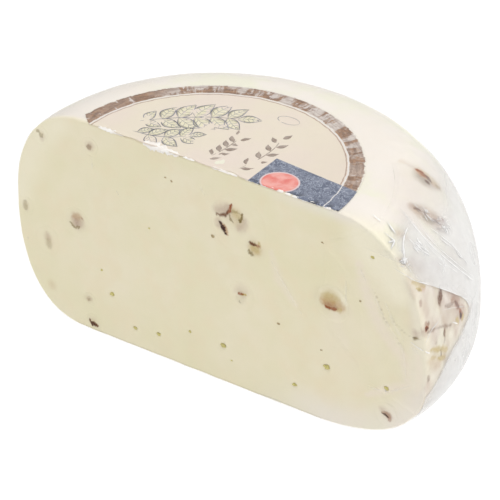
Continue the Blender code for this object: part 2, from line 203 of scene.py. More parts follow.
# The same in the heel, where each half width is spread a little
HEEL_SPREAD = 1.15
HEEL_MARKS = (
    # the almond-shaped piece near the top
    ("grey", 2.60, 0.85, (33.0, 80.9), (32.3, 80.1), (32.2, 79.4)),
    ("mauve", 2.20, 0.45, (30.0, 79.8), (31.5, 78.3), (32.5, 77.2)),
    ("gold", 1.60, 0.85, (35.8, 81.2), (35.3, 80.7), (34.9, 80.1), (34.5, 79.6)),
    ("rust", 0.55, 0.80, (36.2, 81.4), (36.0, 80.8), (35.6, 80.1)),
    ("rust", 0.60, 0.50, (34.9, 80.4), (34.4, 79.9)),
    ("umber", 0.60, 0.85, (35.2, 79.7), (34.5, 78.9), (33.5, 78.2)),
    ("umber", 0.70, 0.95, (32.2, 79.5), (31.8, 78.7)),
    ("tan", 1.80, 0.40, (33.5, 77.7), (33.5, 76.8), (33.4, 75.8)),
    ("olive", 0.80, 0.40, (33.5, 76.4), (33.4, 75.7)),
    ("mauve", 1.60, 0.22, (36.5, 82.4), (37.0, 81.8)),
    ("tan", 0.60, 0.22, (39.5, 83.6), (38.6, 83.4)),
    # the broad one under crinkled film
    ("mauve", 3.20, 0.75, (15.5, 80.2), (16.0, 78.7), (17.0, 76.2), (18.5, 73.5), (19.5, 70.9)),
    ("mauve", 8.00, 0.14, (30.0, 82.5), (18.0, 81.0), (8.0, 79.0)),
    ("umber", 0.60, 0.75, (15.4, 79.7), (16.0, 79.2), (16.0, 78.7)),
    ("umber", 0.60, 0.70, (16.7, 77.7), (17.0, 77.1)),
    ("olive", 1.10, 0.60, (15.2, 77.1), (16.0, 75.7), (16.5, 74.6)),
    ("umber", 0.60, 0.95, (17.0, 75.1), (18.0, 74.1), (18.5, 73.0)),
    ("rust", 0.60, 0.80, (20.0, 73.6), (21.0, 72.4), (21.5, 71.0)),
    ("umber", 0.50, 0.90, (16.0, 73.0), (16.5, 72.1), (17.5, 70.6)),
    ("umber", 0.45, 0.80, (20.2, 71.2), (20.0, 70.0)),
    ("rust", 2.20, 0.30, (18.5, 74.5), (19.8, 71.8)),
    ("tan", 3.00, 0.40, (15.5, 79.2), (17.0, 76.0), (18.5, 73.0)),
    ("tan", 1.60, 0.20, (26.5, 70.7), (26.0, 68.2)),
    ("grey", 0.70, 0.30, (23.0, 65.4), (26.5, 60.4)),
    # stains beside the window's upper edge
    ("tan", 2.20, 0.60, (2.0, 78.8), (3.0, 76.8)),
    ("tan", 2.00, 0.55, (3.0, 76.3), (3.0, 74.3), (2.5, 73.2)),
    ("umber", 0.50, 0.80, (-4.0, 73.7), (-3.5, 72.9), (-3.0, 72.3)),
    ("mauve", 1.60, 0.35, (-4.5, 74.3), (-2.5, 72.3)),
    ("mauve", 2.60, 0.75, (-0.5, 72.0), (1.0, 70.0), (3.0, 69.3)),
    ("tan", 2.60, 0.45, (-0.5, 71.6), (1.0, 69.8)),
    ("mauve", 2.20, 0.80, (5.0, 67.9), (7.5, 65.6)),
    ("rust", 1.20, 0.25, (6.5, 66.8), (7.5, 65.8)),
    ("mauve", 1.60, 0.30, (-4.5, 68.9), (-5.0, 65.9), (-5.5, 62.7)),
    # inside the window, from its top
    ("ochre", 0.80, 0.50, (-4.0, 66.9), (-2.0, 65.2), (-0.5, 63.7)),
    ("ochre", 0.50, 0.80, (-3.5, 64.5), (-2.5, 63.8), (-2.0, 63.0)),
    ("olive", 0.35, 0.40, (-3.0, 63.8), (-2.5, 63.6)),
    ("gold", 0.90, 0.30, (-1.5, 64.1), (-1.0, 63.0)),
    ("mauve", 2.20, 0.10, (-2.0, 61.1), (-2.5, 56.0)),
    ("mauve", 0.60, 0.70, (-3.5, 60.4), (-4.0, 59.2)),
    ("mauve", 1.70, 0.45, (4.5, 58.8), (4.0, 57.2), (2.5, 55.1)),
    ("umber", 0.85, 0.85, (4.5, 58.8), (3.5, 57.2), (2.5, 55.5)),
    ("rust", 0.50, 0.70, (4.2, 58.2), (3.6, 56.6)),
    ("mauve", 1.90, 0.35, (5.0, 57.6), (7.5, 56.4), (9.5, 53.9)),
    ("umber", 0.55, 0.45, (4.5, 53.2), (6.0, 52.2), (8.0, 51.8)),
    ("mauve", 4.50, 0.45, (8.5, 53.0), (9.5, 49.5), (9.5, 45.5)),
    ("rust", 1.60, 0.45, (8.0, 53.1), (9.5, 52.7), (11.0, 50.9)),
    ("rust", 1.10, 0.80, (9.0, 51.3), (9.5, 50.0), (10.0, 48.3)),
    ("umber", 0.50, 0.85, (8.8, 51.6), (9.6, 50.2), (10.2, 48.0)),
    ("rust", 0.90, 0.90, (10.3, 47.2), (10.6, 45.2), (10.4, 43.7)),
    ("bark", 0.50, 1.00, (10.3, 46.0), (10.4, 44.8), (10.3, 43.9)),
    ("ochre", 0.90, 0.85, (11.6, 44.2), (11.0, 42.9)),
    ("ochre", 0.90, 0.65, (8.0, 45.5), (9.0, 43.6)),
    ("rust", 0.50, 0.35, (11.5, 47.8), (13.0, 46.0)),
    ("mauve", 3.20, 0.28, (3.5, 52.2), (4.5, 48.6), (3.0, 47.7)),
    ("umber", 0.40, 0.50, (-3.0, 53.0), (-3.0, 51.7)),
    ("rust", 0.70, 0.50, (-4.0, 52.6), (-3.5, 51.7)),
    ("mauve", 1.60, 0.55, (-5.5, 50.4), (-4.5, 50.4), (-4.0, 51.3)),
    ("rust", 0.55, 1.00, (-4.0, 51.3), (-4.5, 50.4)),
    ("bark", 0.35, 0.80, (-4.1, 51.0), (-4.4, 50.5)),
    ("umber", 0.45, 0.45, (-4.0, 49.5), (-2.0, 49.1), (-1.0, 49.1)),
    ("umber", 0.45, 0.45, (-0.5, 48.6), (1.5, 47.7), (3.5, 46.4), (5.5, 45.5)),
    ("mauve", 2.20, 0.25, (-1.5, 53.0), (-2.5, 46.4)),
    ("umber", 0.38, 0.75, (2.5, 46.4), (2.0, 45.4), (2.0, 43.1)),
    ("umber", 0.30, 0.35, (2.0, 43.1), (1.5, 41.2)),
    ("umber", 0.30, 0.45, (-1.5, 43.9), (-1.5, 42.9)),
    ("ochre", 0.85, 0.60, (-3.5, 42.6), (-1.0, 40.7), (2.5, 38.2)),
    ("ochre", 1.00, 0.60, (1.0, 39.0), (2.5, 37.9)),
    ("ochre", 0.60, 0.40, (-4.0, 39.7), (-2.5, 38.7)),
    ("ochre", 0.80, 0.60, (-1.0, 37.2), (1.5, 35.6)),
    ("tan", 1.90, 0.28, (-4.5, 38.7), (-1.0, 34.6)),
    ("umber", 0.32, 0.70, (0.0, 39.7), (0.0, 37.3)),
    ("umber", 0.55, 0.45, (-5.0, 33.0), (-5.0, 31.1)),
    ("mauve", 1.30, 0.32, (-5.0, 30.6), (-5.5, 27.5)),
)
MARK_POINTS = 16                  # along each mark
# Fine-meshed discs of paste in the knife's face, where the marks lie: place and radius
FACE_DISCS = (
    (10.0, 65.5, 13.0), (50.0, 48.5, 7.5), (-62.0, 42.8, 6.5), (11.7, 38.3, 6.0), (73.7, 12.7, 5.0),
    (-54.6, 3.3, 4.2), (-78.3, 73.4, 4.0), (-55.6, 75.6, 4.0), (-75.2, 31.0, 6.0), (-85.4, 42.0, 4.0),
    (-56.5, 12.6, 3.0),
)
# Fine-meshed patch of paste in the heel: from side to side, and from tilt to tilt
HEEL_PATCH_SIDES, HEEL_PATCH_TILTS = (-13.0, 46.0), (-42.0, 86.0)
# How much flesh shows in the walnut pieces, and in the rest by their slot
FLESH = {
    "walnut_face_01": 0.30, "walnut_face_02": 0.0, "walnut_face_03": 0.15, "walnut_face_04": 0.45,
    "walnut_face_06": 0.45, "walnut_heel_01": 0.45,
}
FLESH_BY_SLOT = {"walnut_flesh": 0.35, "walnut_skin": 0.25, "walnut_dull": 0.15}

# The clear window in the film's second layer: places along its upper and its lower edge
WINDOW_UPPER = (
    (-6.5, 72.4), (-5.5, 70.4), (-3.5, 67.3), (0.0, 64.1), (4.5, 59.6), (7.5, 56.4), (9.5, 53.9),
    (12.0, 51.0), (14.5, 47.0), (15.5, 44.3),
)
WINDOW_LOWER = (
    (15.5, 44.3), (14.5, 43.3), (12.0, 42.3), (8.5, 40.7), (6.0, 39.2), (3.0, 37.7), (0.5, 34.6),
    (-1.5, 31.4), (-4.0, 27.5), (-6.0, 25.5),
)
# Far edge of the second layer: side and tilt
SECOND_LAYER_RIM = (
    (-5.0, 74.0), (12.0, 84.0), (40.0, 80.0), (68.0, 55.0), (80.0, 15.0), (72.0, -25.0), (45.0, -55.0),
    (15.0, -62.0), (-3.0, -48.0),
)
# The two creases that part its panels: heights in mm, and the side at each
FIRST_CREASE = ((40.0, 58.1, 68.3, 72.3, 75.6, 80.4), (28.5, 15.5, 10.5, 9.0, 8.5, 10.5))
SECOND_CREASE = ((45.0, 55.4, 60.6, 66.7, 71.2, 74.0), (27.0, 21.0, 19.0, 16.0, 14.5, 13.0))

# Pinched creases of the film on the heel: half width and height in mm, then the places of a few points.
# Their milky white is partly the film whitened where pinched and partly painted highlight for its glints
HEEL_CREASES = (
    (0.26, 0.22, (11.0, 82.0), (8.5, 77.3), (9.0, 71.1), (12.5, 63.1), (17.5, 54.9), (20.5, 50.3),
     (35.0, 33.8)),
    (0.20, 0.16, (10.5, 77.0), (10.3, 71.4), (13.6, 63.6), (18.3, 55.6), (23.0, 49.0)),
    (0.16, 0.14, (7.6, 74.0), (8.2, 69.4), (11.3, 62.5), (14.6, 57.4)),
    (0.35, 0.25, (13.2, 74.6), (14.0, 73.2), (15.5, 69.7), (17.5, 65.3), (19.0, 60.6), (21.0, 55.9)),
    (0.40, 0.35, (6.0, 78.6), (2.0, 77.5), (-0.5, 76.1), (-3.5, 72.3)),
    (0.30, 0.30, (3.5, 75.6), (3.0, 74.0), (6.0, 70.2)),
    (0.30, 0.25, (-2.5, 80.7), (-2.0, 78.8), (-1.5, 78.2)),
    (0.25, 0.20, (-1.5, 78.2), (-4.0, 78.6)),
    (0.25, 0.20, (-1.5, 78.2), (-5.0, 77.1)),
    (0.25, 0.25, (0.0, 82.3), (0.5, 83.6)),
    (0.25, 0.20, (-3.0, 74.6), (-3.0, 72.9)),
    (0.25, 0.20, (-1.5, 73.2), (-5.0, 73.7)),
    (0.34, 0.40, (4.0, 75.1), (4.5, 72.6), (6.0, 69.9)),
    (0.30, 0.40, (5.5, 75.1), (6.0, 72.6)),
    (0.34, 0.40, (5.0, 73.5), (6.5, 70.8)),
    (0.28, 0.40, (2.5, 74.6), (3.0, 72.3)),
    (0.26, 0.30, (3.2, 76.6), (3.6, 74.4)),
    (0.30, 0.20, (2.0, 81.7), (1.0, 80.6), (0.5, 79.2)),
    (0.35, 0.20, (14.0, 70.9), (15.0, 68.4), (16.0, 66.7)),
    (0.35, 0.20, (17.5, 64.3), (18.0, 61.7), (19.5, 59.4)),
    (0.30, 0.25, (24.0, 60.0), (31.5, 54.2), (36.0, 47.0)),
    (0.25, 0.20, (17.0, 43.6), (22.0, 43.9), (30.0, 43.0)),
    (0.14, 0.10, (-5.5, 46.4), (-3.0, 49.5), (0.0, 50.8), (2.0, 52.6)),
    (0.10, 0.05, (2.0, 53.4), (7.5, 50.4), (14.5, 45.2)),
    (0.34, 0.35, (-7.6, 45.4), (-6.8, 44.2), (-6.0, 43.5)),
    (0.30, 0.30, (-5.7, 43.6), (-5.3, 42.8), (-4.4, 42.0)),
    (0.30, 0.20, (5.5, 46.4), (6.6, 45.2), (7.8, 44.0)),
)
# Creases of the film over the knife's face, in the same way
FACE_CREASES = (
    (0.35, 0.12, (66.1, 60.9), (71.1, 51.6), (76.6, 44.9), (80.0, 39.8), (81.5, 29.2)),
    (0.45, 0.10, (72.0, 57.0), (76.0, 49.5), (80.2, 44.0)),
    (0.30, 0.08, (24.1, 56.9), (31.0, 48.0), (38.0, 39.6)),
    (0.30, 0.10, (65.6, 21.2), (74.0, 22.3), (83.2, 27.8)),
    (0.25, 0.10, (73.0, 23.2), (73.6, 21.0)),
    (0.25, 0.08, (61.1, 66.6), (63.8, 62.4)),
    (0.30, 0.06, (55.6, 59.9), (55.9, 49.8)),
    (0.35, 0.20, (83.0, 43.4), (84.6, 42.6), (86.5, 41.5)),
    (0.35, 0.15, (20.4, 0.7), (25.0, 1.2), (30.0, 1.4)),
    (0.25, 0.06, (-6.6, 76.3), (-4.4, 72.7)),
    (0.25, 0.06, (-43.6, 62.1), (-41.9, 59.9)),
    (0.30, 0.05, (-54.4, 71.7), (-54.2, 66.8)),
)
CREASE_POINTS, RIDGE_POINTS = 48, 8     # along each crease, and round it
# Where the film is bunched: place on the heel, reach in mm, how many fine folds, and their half width in mm
CRINKLES = (
    (-3.5, 72.0, 3.0, 12, 0.20), (16.5, 77.6, 3.6, 14, 0.11), (20.0, 71.3, 4.2, 26, 0.12),
    (5.0, 73.0, 3.2, 14, 0.18), (27.0, 55.0, 4.0, 8, 0.20), (20.0, 35.0, 6.0, 12, 0.20),
    (12.0, 27.0, 5.0, 8, 0.20), (58.0, 71.0, 3.0, 6, 0.20), (9.0, 64.5, 3.0, 6, 0.20),
)


# ================================================================ the wheel's skin as formulas
def outside_wheel(p):
    """Distance outside the whole wheel, negative inside.

    With a the way out from the flat's rim and b the way up or down from the belly, each as a share of
    its reach, the skin is where (a^n + b^n)^(1/n) is 1. The excess over 1 is divided by its slope.
    """
    x, y, z = p[..., 0], (p[..., 1] - AXIS_Y) / DEPTH_FACTOR, p[..., 2]
    radius = np.hypot(x, y)
    tilt = x / np.maximum(radius, 1e-9)
    belly = BELLY + BELLY_TILT * tilt
    above = z > belly
    flat = np.where(above, TOP_FLAT + TOP_TILT * tilt, BASE_FLAT + BASE_TILT * tilt)
    power = np.where(above, TOP_POWER, BASE_POWER)
    rise = np.where(above, WHEEL_HEIGHT - belly, belly)
    reach = WHEEL_RADIUS - flat
    a = np.maximum(radius - flat, 0.0) / reach
    b = np.maximum(np.abs(z - belly) / rise, 1e-6)
    level = (a ** power + b ** power) ** (1 / power)
    slope = np.hypot(a ** (power - 1) / reach, b ** (power - 1) / rise) * level ** (1 - power)
    return (level - 1) / slope


def outside_knife(p):
    """Distance in front of the knife's leaning face, negative behind it."""
    return (CUT_FOOT_Y + CUT_LEAN * p[..., 2] - p[..., 1]) / math.hypot(1.0, CUT_LEAN)


def outside_skin(p):
    """Distance outside the half wheel: the larger of the two, with the corner between them rounded."""
    wheel, knife = outside_wheel(p), outside_knife(p)
    corner = np.hypot(np.maximum(wheel + EDGE_ROUNDING, 0), np.maximum(knife + EDGE_ROUNDING, 0))
    return np.minimum(np.maximum(wheel, knife) + EDGE_ROUNDING, 0) + corner - EDGE_ROUNDING


def side_of(p):
    """Side of points: their angle round the axis from +X, in degrees."""
    return np.degrees(np.arctan2((p[..., 1] - AXIS_Y) / DEPTH_FACTOR, p[..., 0]))


def tilt_of(p):
    """Tilt of points: their angle above level as seen from the ring inside the heel, in degrees."""
    out = np.hypot(p[..., 0], (p[..., 1] - AXIS_Y) / DEPTH_FACTOR) - RING_RADIUS
    return np.degrees(np.arctan2(p[..., 2] - RING_HEIGHT, out))


def unit(v):
    """Vectors at length 1."""
    return v / np.maximum(np.linalg.norm(v, axis=-1, keepdims=True), 1e-12)


def skin_normal(p):
    """Outward normal of the skin, by central differences of the distance."""
    steps = 2e-4 * np.eye(3)
    return unit(np.stack([outside_skin(p + step) - outside_skin(p - step) for step in steps], axis=-1))


def halve(outside, far):
    """Where a distance turns from inside to outside between 0 and far, found by halving."""
    near, far = np.zeros(far.shape), far.astype(float)
    for _ in range(30):
        middle = (near + far) / 2
        inside = outside(middle) < 0
        near, far = np.where(inside, middle, near), np.where(inside, far, middle)
    return near


def cast(p):
    """Skin points in the direction of p from the heart: how far each ray goes is found by halving."""
    direction = unit(p - HEART)
    far = np.full(direction.shape[:-1], 0.2)
    reach = halve(lambda t: outside_skin(HEART + t[..., None] * direction), far)
    return HEART + reach[..., None] * direction


def round_axis(side, radius, height):
    """Point at a side in degrees, a radius and a height about the wheel's slightly squashed axis."""
    side = np.radians(side)
    return np.stack([radius * np.cos(side), AXIS_Y + DEPTH_FACTOR * radius * np.sin(side), height], axis=-1)


def heel_points(places):
    """Skin points from sides and heights: the radius at that height is found by halving."""
    places = np.asarray(places, float)
    side, height = places[..., 0], places[..., 1] / 1000
    radius = halve(lambda r: outside_wheel(round_axis(side, r, height)), np.full(side.shape, 0.11))
    return cast(round_axis(side, radius, height))


def heel_tilts(places):
    """Skin points from sides and tilts, by a step that way from the ring inside the heel."""
    places = np.asarray(places, float)
    tilt = np.radians(places[..., 1])
    radius, height = RING_RADIUS + 0.03 * np.cos(tilt), RING_HEIGHT + 0.03 * np.sin(tilt)
    return cast(round_axis(places[..., 0], radius, height))


def face_points(places):
    """Points of the knife's face from millimetres across and up."""
    places = np.asarray(places, float) / 1000
    across, height = places[..., 0], places[..., 1]
    return cast(np.stack([across, CUT_FOOT_Y + CUT_LEAN * height, height], axis=-1))


def sink(p, depth):
    """Points that far under the skin, along its normal."""
    return p - skin_normal(p) * np.asarray(depth)[..., None]


# ================================================================ small tools
def ease(low, high, value):
    """0 at low, 1 at high, and a smooth S between."""
    t = np.clip((value - low) / (high - low), 0, 1)
    return t * t * (3 - 2 * t)


def ripples(p, size, seed):
    """Smooth noise of about -1 to 1: a sum of plane waves in random directions, of lengths near a size."""
    waves = 16
    draw = np.random.default_rng(seed)
    heading = unit(draw.normal(size=(waves, p.shape[-1])))
    pitch = 2 * np.pi / (size * draw.uniform(0.6, 1.6, waves))
    phase = draw.uniform(0, 2 * np.pi, waves)
    total = np.zeros(p.shape[:-1])
    for k in range(waves):
        total += np.sin(p @ (heading[k] * pitch[k]) + phase[k])
    return total * 0.7 * math.sqrt(2 / waves)


def wrinkles(p, size, seed):
    """Sharp-crested noise from 0 to 1: one less the size of the ripples, cubed."""
    return np.clip(1 - np.abs(ripples(p, size, seed)), 0, 1) ** 3


def curved(points, count):
    """A smooth line through a few points, with evenly spread points: Catmull-Rom spline."""
    points = np.asarray(points, float)
    ends = np.concatenate([[2 * points[0] - points[1]], points, [2 * points[-1] - points[-2]]])
    t = np.linspace(0, len(points) - 1, 40 * len(points))
    k = np.minimum(t.astype(int), len(points) - 2)
    f = (t - k)[:, None]
    a, b, c, d = (ends[k + step] for step in range(4))
    square, cube = (2 * a - 5 * b + 4 * c - d) * f ** 2, (3 * b - a - 3 * c + d) * f ** 3
    line = 0.5 * (2 * b + (c - a) * f + square + cube)
    gone = np.concatenate([[0], np.cumsum(np.linalg.norm(np.diff(line, axis=0), axis=1))])
    even = np.linspace(0, gone[-1], count)
    return np.stack([np.interp(even, gone, line[:, axis]) for axis in range(points.shape[1])], axis=-1)


def grid_faces(rows, columns, wrap=False):
    """Quads between neighbouring rows of a grid of points, numbered row by row; wrap closes each row."""
    across = np.arange(columns if wrap else columns - 1)
    ahead = (across + 1) % columns
    near = np.arange(rows - 1)[:, None] * columns
    far = near + columns
    return np.stack([near + across, near + ahead, far + ahead, far + across], axis=-1).reshape(-1, 4)


def grid_border(rows, columns):
    """Numbers of the points along the border of such a grid, once round."""
    index = np.arange(rows * columns).reshape(rows, columns)
    return np.concatenate([index[0, :-1], index[:-1, -1], index[-1, :0:-1], index[:0:-1, 0]])


def sewn(top, bottom, turned=False):
    """Points and faces of two grids, one over the other and sewn together along the border."""
    rows, columns = top.shape[:2]
    count = rows * columns
    border = grid_border(rows, columns)
    ahead = np.roll(border, -1)
    quads = grid_faces(rows, columns)
    wall = np.stack([border, border + count, ahead + count, ahead], axis=-1)
    if turned:
        quads, wall = quads[:, ::-1], wall[:, ::-1]
    points = np.concatenate([top.reshape(-1, 3), bottom.reshape(-1, 3)])
    return points, [quads, quads[:, ::-1] + count, wall]


def capsule(rings, first, last):
    """Closed surfaces from rings of points and a pole at each end; any number of them, joined.

    rings has a row of rings for each capsule, and every ring goes round the same way.
    """
    items, rows, columns = rings.shape[:3]
    points = np.concatenate([first[:, None], rings.reshape(items, -1, 3), last[:, None]], axis=1)
    body = grid_faces(rows, columns, wrap=True) + 1
    around, ahead = np.arange(columns), (np.arange(columns) + 1) % columns
    start = np.stack([np.zeros(columns, int), 1 + ahead, 1 + around], axis=-1)
    end_row = 1 + (rows - 1) * columns
    end = np.stack([end_row + around, end_row + ahead, np.full(columns, end_row + columns)], axis=-1)
    step = (np.arange(items) * points.shape[1])[:, None, None]
    faces = [(block[None] + step).reshape(-1, block.shape[1]) for block in (body, start, end)]
    return points, faces


def with_poles(values):
    """Values of such rings, with the mean of the first and of the last ring for the poles."""
    def spread(v):
        """One kind of value, a row for each capsule."""
        return np.concatenate([v[:, :1].mean(2), v.reshape(len(v), -1), v[:, -1:].mean(2)], axis=1)
    return {key: spread(v) for key, v in values.items()}


def per_point(value, items, count):
    """One number, one for each line or one for each point, spread to one for each point."""
    value = np.asarray(value, float)
    return np.broadcast_to(value if value.ndim == 2 else value.reshape(-1, 1), (items, count))


def ridges(lines, half_width, height, depth, round_points=RIDGE_POINTS):
    """Low closed ridges along lines on the skin, one capsule each: joined points, faces and soft normals.

    Round the ridge, a lens profile goes half_width to each side and height up, and along it both
    shrink to nothing at the ends by the root of a sine. depth is how far its foot lies under the skin.
    The soft normals are the skin's, leaning a little outward to each side.
    """
    lines = np.asarray(lines, float)
    items, count = lines.shape[:2]
    along = unit(np.gradient(lines, axis=1))
    normal = skin_normal(lines)
    across = unit(np.cross(normal, along))
    share = (np.arange(1, count - 1) / (count - 1))
    taper = np.sqrt(np.sin(np.pi * share))[None, :, None]
    turn = 2 * np.pi * np.arange(round_points) / round_points
    width = per_point(half_width, items, count)[:, 1:-1, None]
    rise = per_point(height, items, count)[:, 1:-1, None]
    out = width * taper * np.cos(turn)
    up = rise * taper * np.where(np.sin(turn) > 0, np.sin(turn), 0.15 * np.sin(turn)) - depth
    middle, side, top = lines[:, 1:-1, None], across[:, 1:-1, None], normal[:, 1:-1, None]
    rings = middle + side * out[..., None] + top * up[..., None]
    first = lines[:, 0] - normal[:, 0] * depth
    last = lines[:, -1] - normal[:, -1] * depth
    face_up = np.where(np.sin(turn) > -0.5, 1.0, -1.0)[:, None]
    lean = unit(top * face_up + side * 0.25 * np.cos(turn)[:, None])
    soft, _ = capsule(lean, normal[:, 0], normal[:, -1])
    return *capsule(rings, first, last), soft


def new_piece(name, points, faces, values=None, normals=None):
    """A smooth mesh object at the origin from points, faces, named values and normals for each point."""
    mesh = bpy.data.meshes.new(name)
    mesh.from_pydata(points.reshape(-1, 3).tolist(), [], [f for block in faces for f in block.tolist()])
    for key, value in (values or {}).items():
        layer = mesh.attributes.new(key, "FLOAT", "POINT")
        layer.data.foreach_set("value", np.ascontiguousarray(value, np.float32).ravel())
    mesh.polygons.foreach_set("use_smooth", np.full(len(mesh.polygons), True))
    mesh.update()
    if normals is not None:
        mesh.normals_split_custom_set_from_vertices(normals.reshape(-1, 3).tolist())
    piece = bpy.data.objects.new(name, mesh)
    bpy.context.scene.collection.objects.link(piece)
    return piece


def dress(piece, material, slot, *nodes):
    """Give a piece its material and body, and hide the CAD nodes that it stands for. The slot is not used."""
    piece.data.materials.append(material)
    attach(piece, "root")
    if nodes:
        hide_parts(*nodes)


# ================================================================ materials
def paint(red, green, blue):
    """A colour as seen on screen, 0 to 255, as the linear colour that a socket takes."""
    seen = np.array((red, green, blue)) / 255
    linear = np.where(seen <= 0.04045, seen / 12.92, ((seen + 0.055) / 1.055) ** 2.4)
    return (*linear.tolist(), 1.0)


class Finish:
    """A material put together node by node."""

    def __init__(self, name):
        self.material = bpy.data.materials.new(name)
        self.material.use_nodes = True
        self.tree = self.material.node_tree
        self.tree.nodes.clear()
        self.place = self.add("TexCoord").outputs["Object"]

    def add(self, kind, sockets=None, **settings):
        """A node with its settings, and its sockets fed with values or other sockets."""
        node = self.tree.nodes.new("ShaderNode" + kind)
        for key, value in settings.items():
            setattr(node, key, value)
        for key, value in (sockets or {}).items():
            if isinstance(value, bpy.types.NodeSocket):
                self.tree.links.new(value, node.inputs[key])
            else:
                node.inputs[key].default_value = value
        return node

    def step(self, operation, first, second=0.0):
        """One step of arithmetic."""
        return self.add("Math", {0: first, 1: second}, operation=operation).outputs[0]

    def plus(self, first, second):
        """Sum of two values."""
        return self.step("ADD", first, second)

    def minus(self, first, second):
        """What is left of the first value."""
        return self.step("SUBTRACT", first, second)

    def times(self, first, second):
        """Product of two values."""
        return self.step("MULTIPLY", first, second)

    def length(self, x, y):
        """Root of the sum of two squares."""
        return self.step("SQRT", self.plus(self.times(x, x), self.times(y, y)))

    def from_middle(self, noise):
        """How far noise lies from its middle: 0 along thin winding lines."""
        return self.step("ABSOLUTE", self.minus(noise, 0.5))

    def shaken(self, value, size, detail, roughness, amount):
        """A value made uneven by an amount of noise."""
        return self.plus(value, self.times(self.minus(self.noise(size, detail, roughness), 0.5), amount))

    def value(self, name):
        """A value stored on the mesh."""
        return self.add("Attribute", attribute_name=name).outputs["Fac"]

    def noise(self, size, detail=3.0, roughness=0.5, at=None):
        """Cloudy noise of a size in metres, 0 to 1."""
        sockets = {"Vector": at or self.place, "Scale": 1 / size, "Detail": detail, "Roughness": roughness}
        return self.add("TexNoise", sockets).outputs[0]

    def span(self, value, low, high, least=0.0, most=1.0):
        """A value's way from low to high, held between least and most, along a smooth S."""
        sockets = {"Value": value, "From Min": low, "From Max": high, "To Min": least, "To Max": most}
        return self.add("MapRange", sockets, interpolation_type="SMOOTHSTEP").outputs[0]

    def blend(self, share, first, second):
        """Two colours mixed."""
        return self.add("Mix", {0: share, 6: first, 7: second}, data_type="RGBA").outputs[2]

    def shaders(self, share, first, second):
        """Two shaders mixed."""
        return self.add("MixShader", {0: share, 1: first, 2: second}).outputs[0]

    def bump(self, height, distance):
        """A normal tilted by a height, where 1 stands for a distance in metres."""
        return self.add("Bump", {"Height": height, "Distance": distance, "Strength": 1.0}).outputs[0]

    def done(self, shader):
        """Send the shader to the surface and give the material back."""
        self.tree.links.new(shader, self.add("OutputMaterial").inputs["Surface"])
        return self.material


# Tones of walnut and of what it stains, in the order in which they lie over the paste
TONES = {
    "cream": paint(243, 236, 212), "pale": paint(239, 227, 209), "flesh": paint(206, 186, 144),
    "mauve": paint(182, 156, 140), "grey": paint(168, 154, 138), "tan": paint(190, 152, 104),
    "gold": paint(184, 124, 72), "ochre": paint(190, 166, 94), "olive": paint(124, 104, 52),
    "rust": paint(146, 82, 42), "umber": paint(106, 64, 32), "bark": paint(62, 24, 4),
}


def paste_colour(f):
    """Cream paste in clouds: whiter toward the rind, browner where stained, with each tone laid over it."""
    broad = f.span(f.noise(0.034, 2.0), 0.35, 0.65)
    cloud = f.span(f.noise(0.009, 3.0), 0.35, 0.70)
    grain = f.noise(0.0016, 4.0, 0.6)
    inner = f.blend(broad, paint(234, 226, 193), paint(237, 228, 200))
    inner = f.blend(f.times(cloud, 0.35), inner, paint(229, 222, 184))
    inner = f.blend(f.span(f.noise(0.011, 5.0, 0.6), 0.46, 0.66, 0.0, 0.45), inner, paint(236, 222, 190))
    outer = f.blend(broad, paint(236, 233, 214), paint(239, 231, 221))
    outer = f.blend(f.span(f.noise(0.015, 3.0, 0.6), 0.42, 0.62), outer, paint(239, 232, 223))
    colour = f.blend(f.value("rind"), inner, outer)
    colour = f.blend(f.value("stain"), colour, paint(190, 168, 148))
    colour = f.blend(f.span(grain, 0.62, 0.8, 0.0, 0.15), colour, paint(214, 206, 168))
    uneven = f.span(f.noise(0.0009, 3.0, 0.6), 0.3, 0.7, 0.9, 1.12)
    for tone, shade in TONES.items():
        colour = f.blend(f.times(f.value(tone), uneven), colour, shade)
    return colour


def food_finish(name, grain, relief):
    """Food with a fine-grained skin, in the paste's colours."""
    f = Finish(name)
    shader = f.add("BsdfPrincipled", {
        "Base Color": paste_colour(f), "Roughness": 0.5, "Specular IOR Level": 0.15,
        "Normal": f.bump(f.noise(grain, 3.0), relief),
    })
    return f.done(shader.outputs[0])


def film_finish():
    """Clear shrink film: see-through, and milky where the haze value says so.

    Its gloss is slight face on, rises with the fifth power of the slant and is gone again at the outline.
    On the heel's creases and folds, the high haze is partly painted highlight standing in for glints.
    """
    f = Finish("film")
    turned = {0: f.place, 2: (math.radians(30.5), 0, 0), 3: (1, 1, 3)}
    slanted = f.add("Mapping", turned, vector_type="TEXTURE").outputs[0]
    folds = f.from_middle(f.noise(0.0045, 3.0, 0.55, slanted))
    crushed = f.times(folds, f.value("crinkle"))
    height = f.plus(crushed, f.times(f.noise(0.0016, 2.0), 0.02))
    fine = f.bump(height, 0.0025)
    clear = f.add("BsdfTransparent").outputs[0]
    milk = f.add("BsdfDiffuse", {"Color": paint(251, 250, 248)}).outputs[0]
    rough = f.span(f.value("crinkle"), 0.05, 0.6, 0.36, 0.10)
    shine = f.add("BsdfGlossy", {"Roughness": rough, "Normal": fine}).outputs[0]
    facing = f.add("LayerWeight", {"Blend": 0.5}).outputs["Facing"]
    straight = f.plus(0.012, f.times(0.03, f.value("crinkle")))
    rim = f.times(f.step("POWER", facing, 5.0), f.span(facing, 0.92, 0.78, 0.0, 0.6))
    edge = f.plus(straight, rim)
    patchy = f.times(f.value("haze"), f.span(f.noise(0.006, 3.0), 0.2, 0.8, 0.90, 1.08))
    body = f.shaders(f.step("MINIMUM", patchy, 0.95), clear, milk)
    coated = f.shaders(edge, body, shine)
    return f.done(f.shaders(f.value("cover"), clear, coated))


def plain_finish(name, first, second, size, roughness=0.55):
    """Two close tones clouded together."""
    f = Finish(name)
    colour = f.blend(f.span(f.noise(size, 3.0), 0.3, 0.7), first, second)
    shader = f.add("BsdfPrincipled", {
        "Base Color": colour, "Roughness": roughness, "Normal": f.bump(f.noise(size / 3, 3.0), 0.00005),
    })
    return f.done(shader.outputs[0])


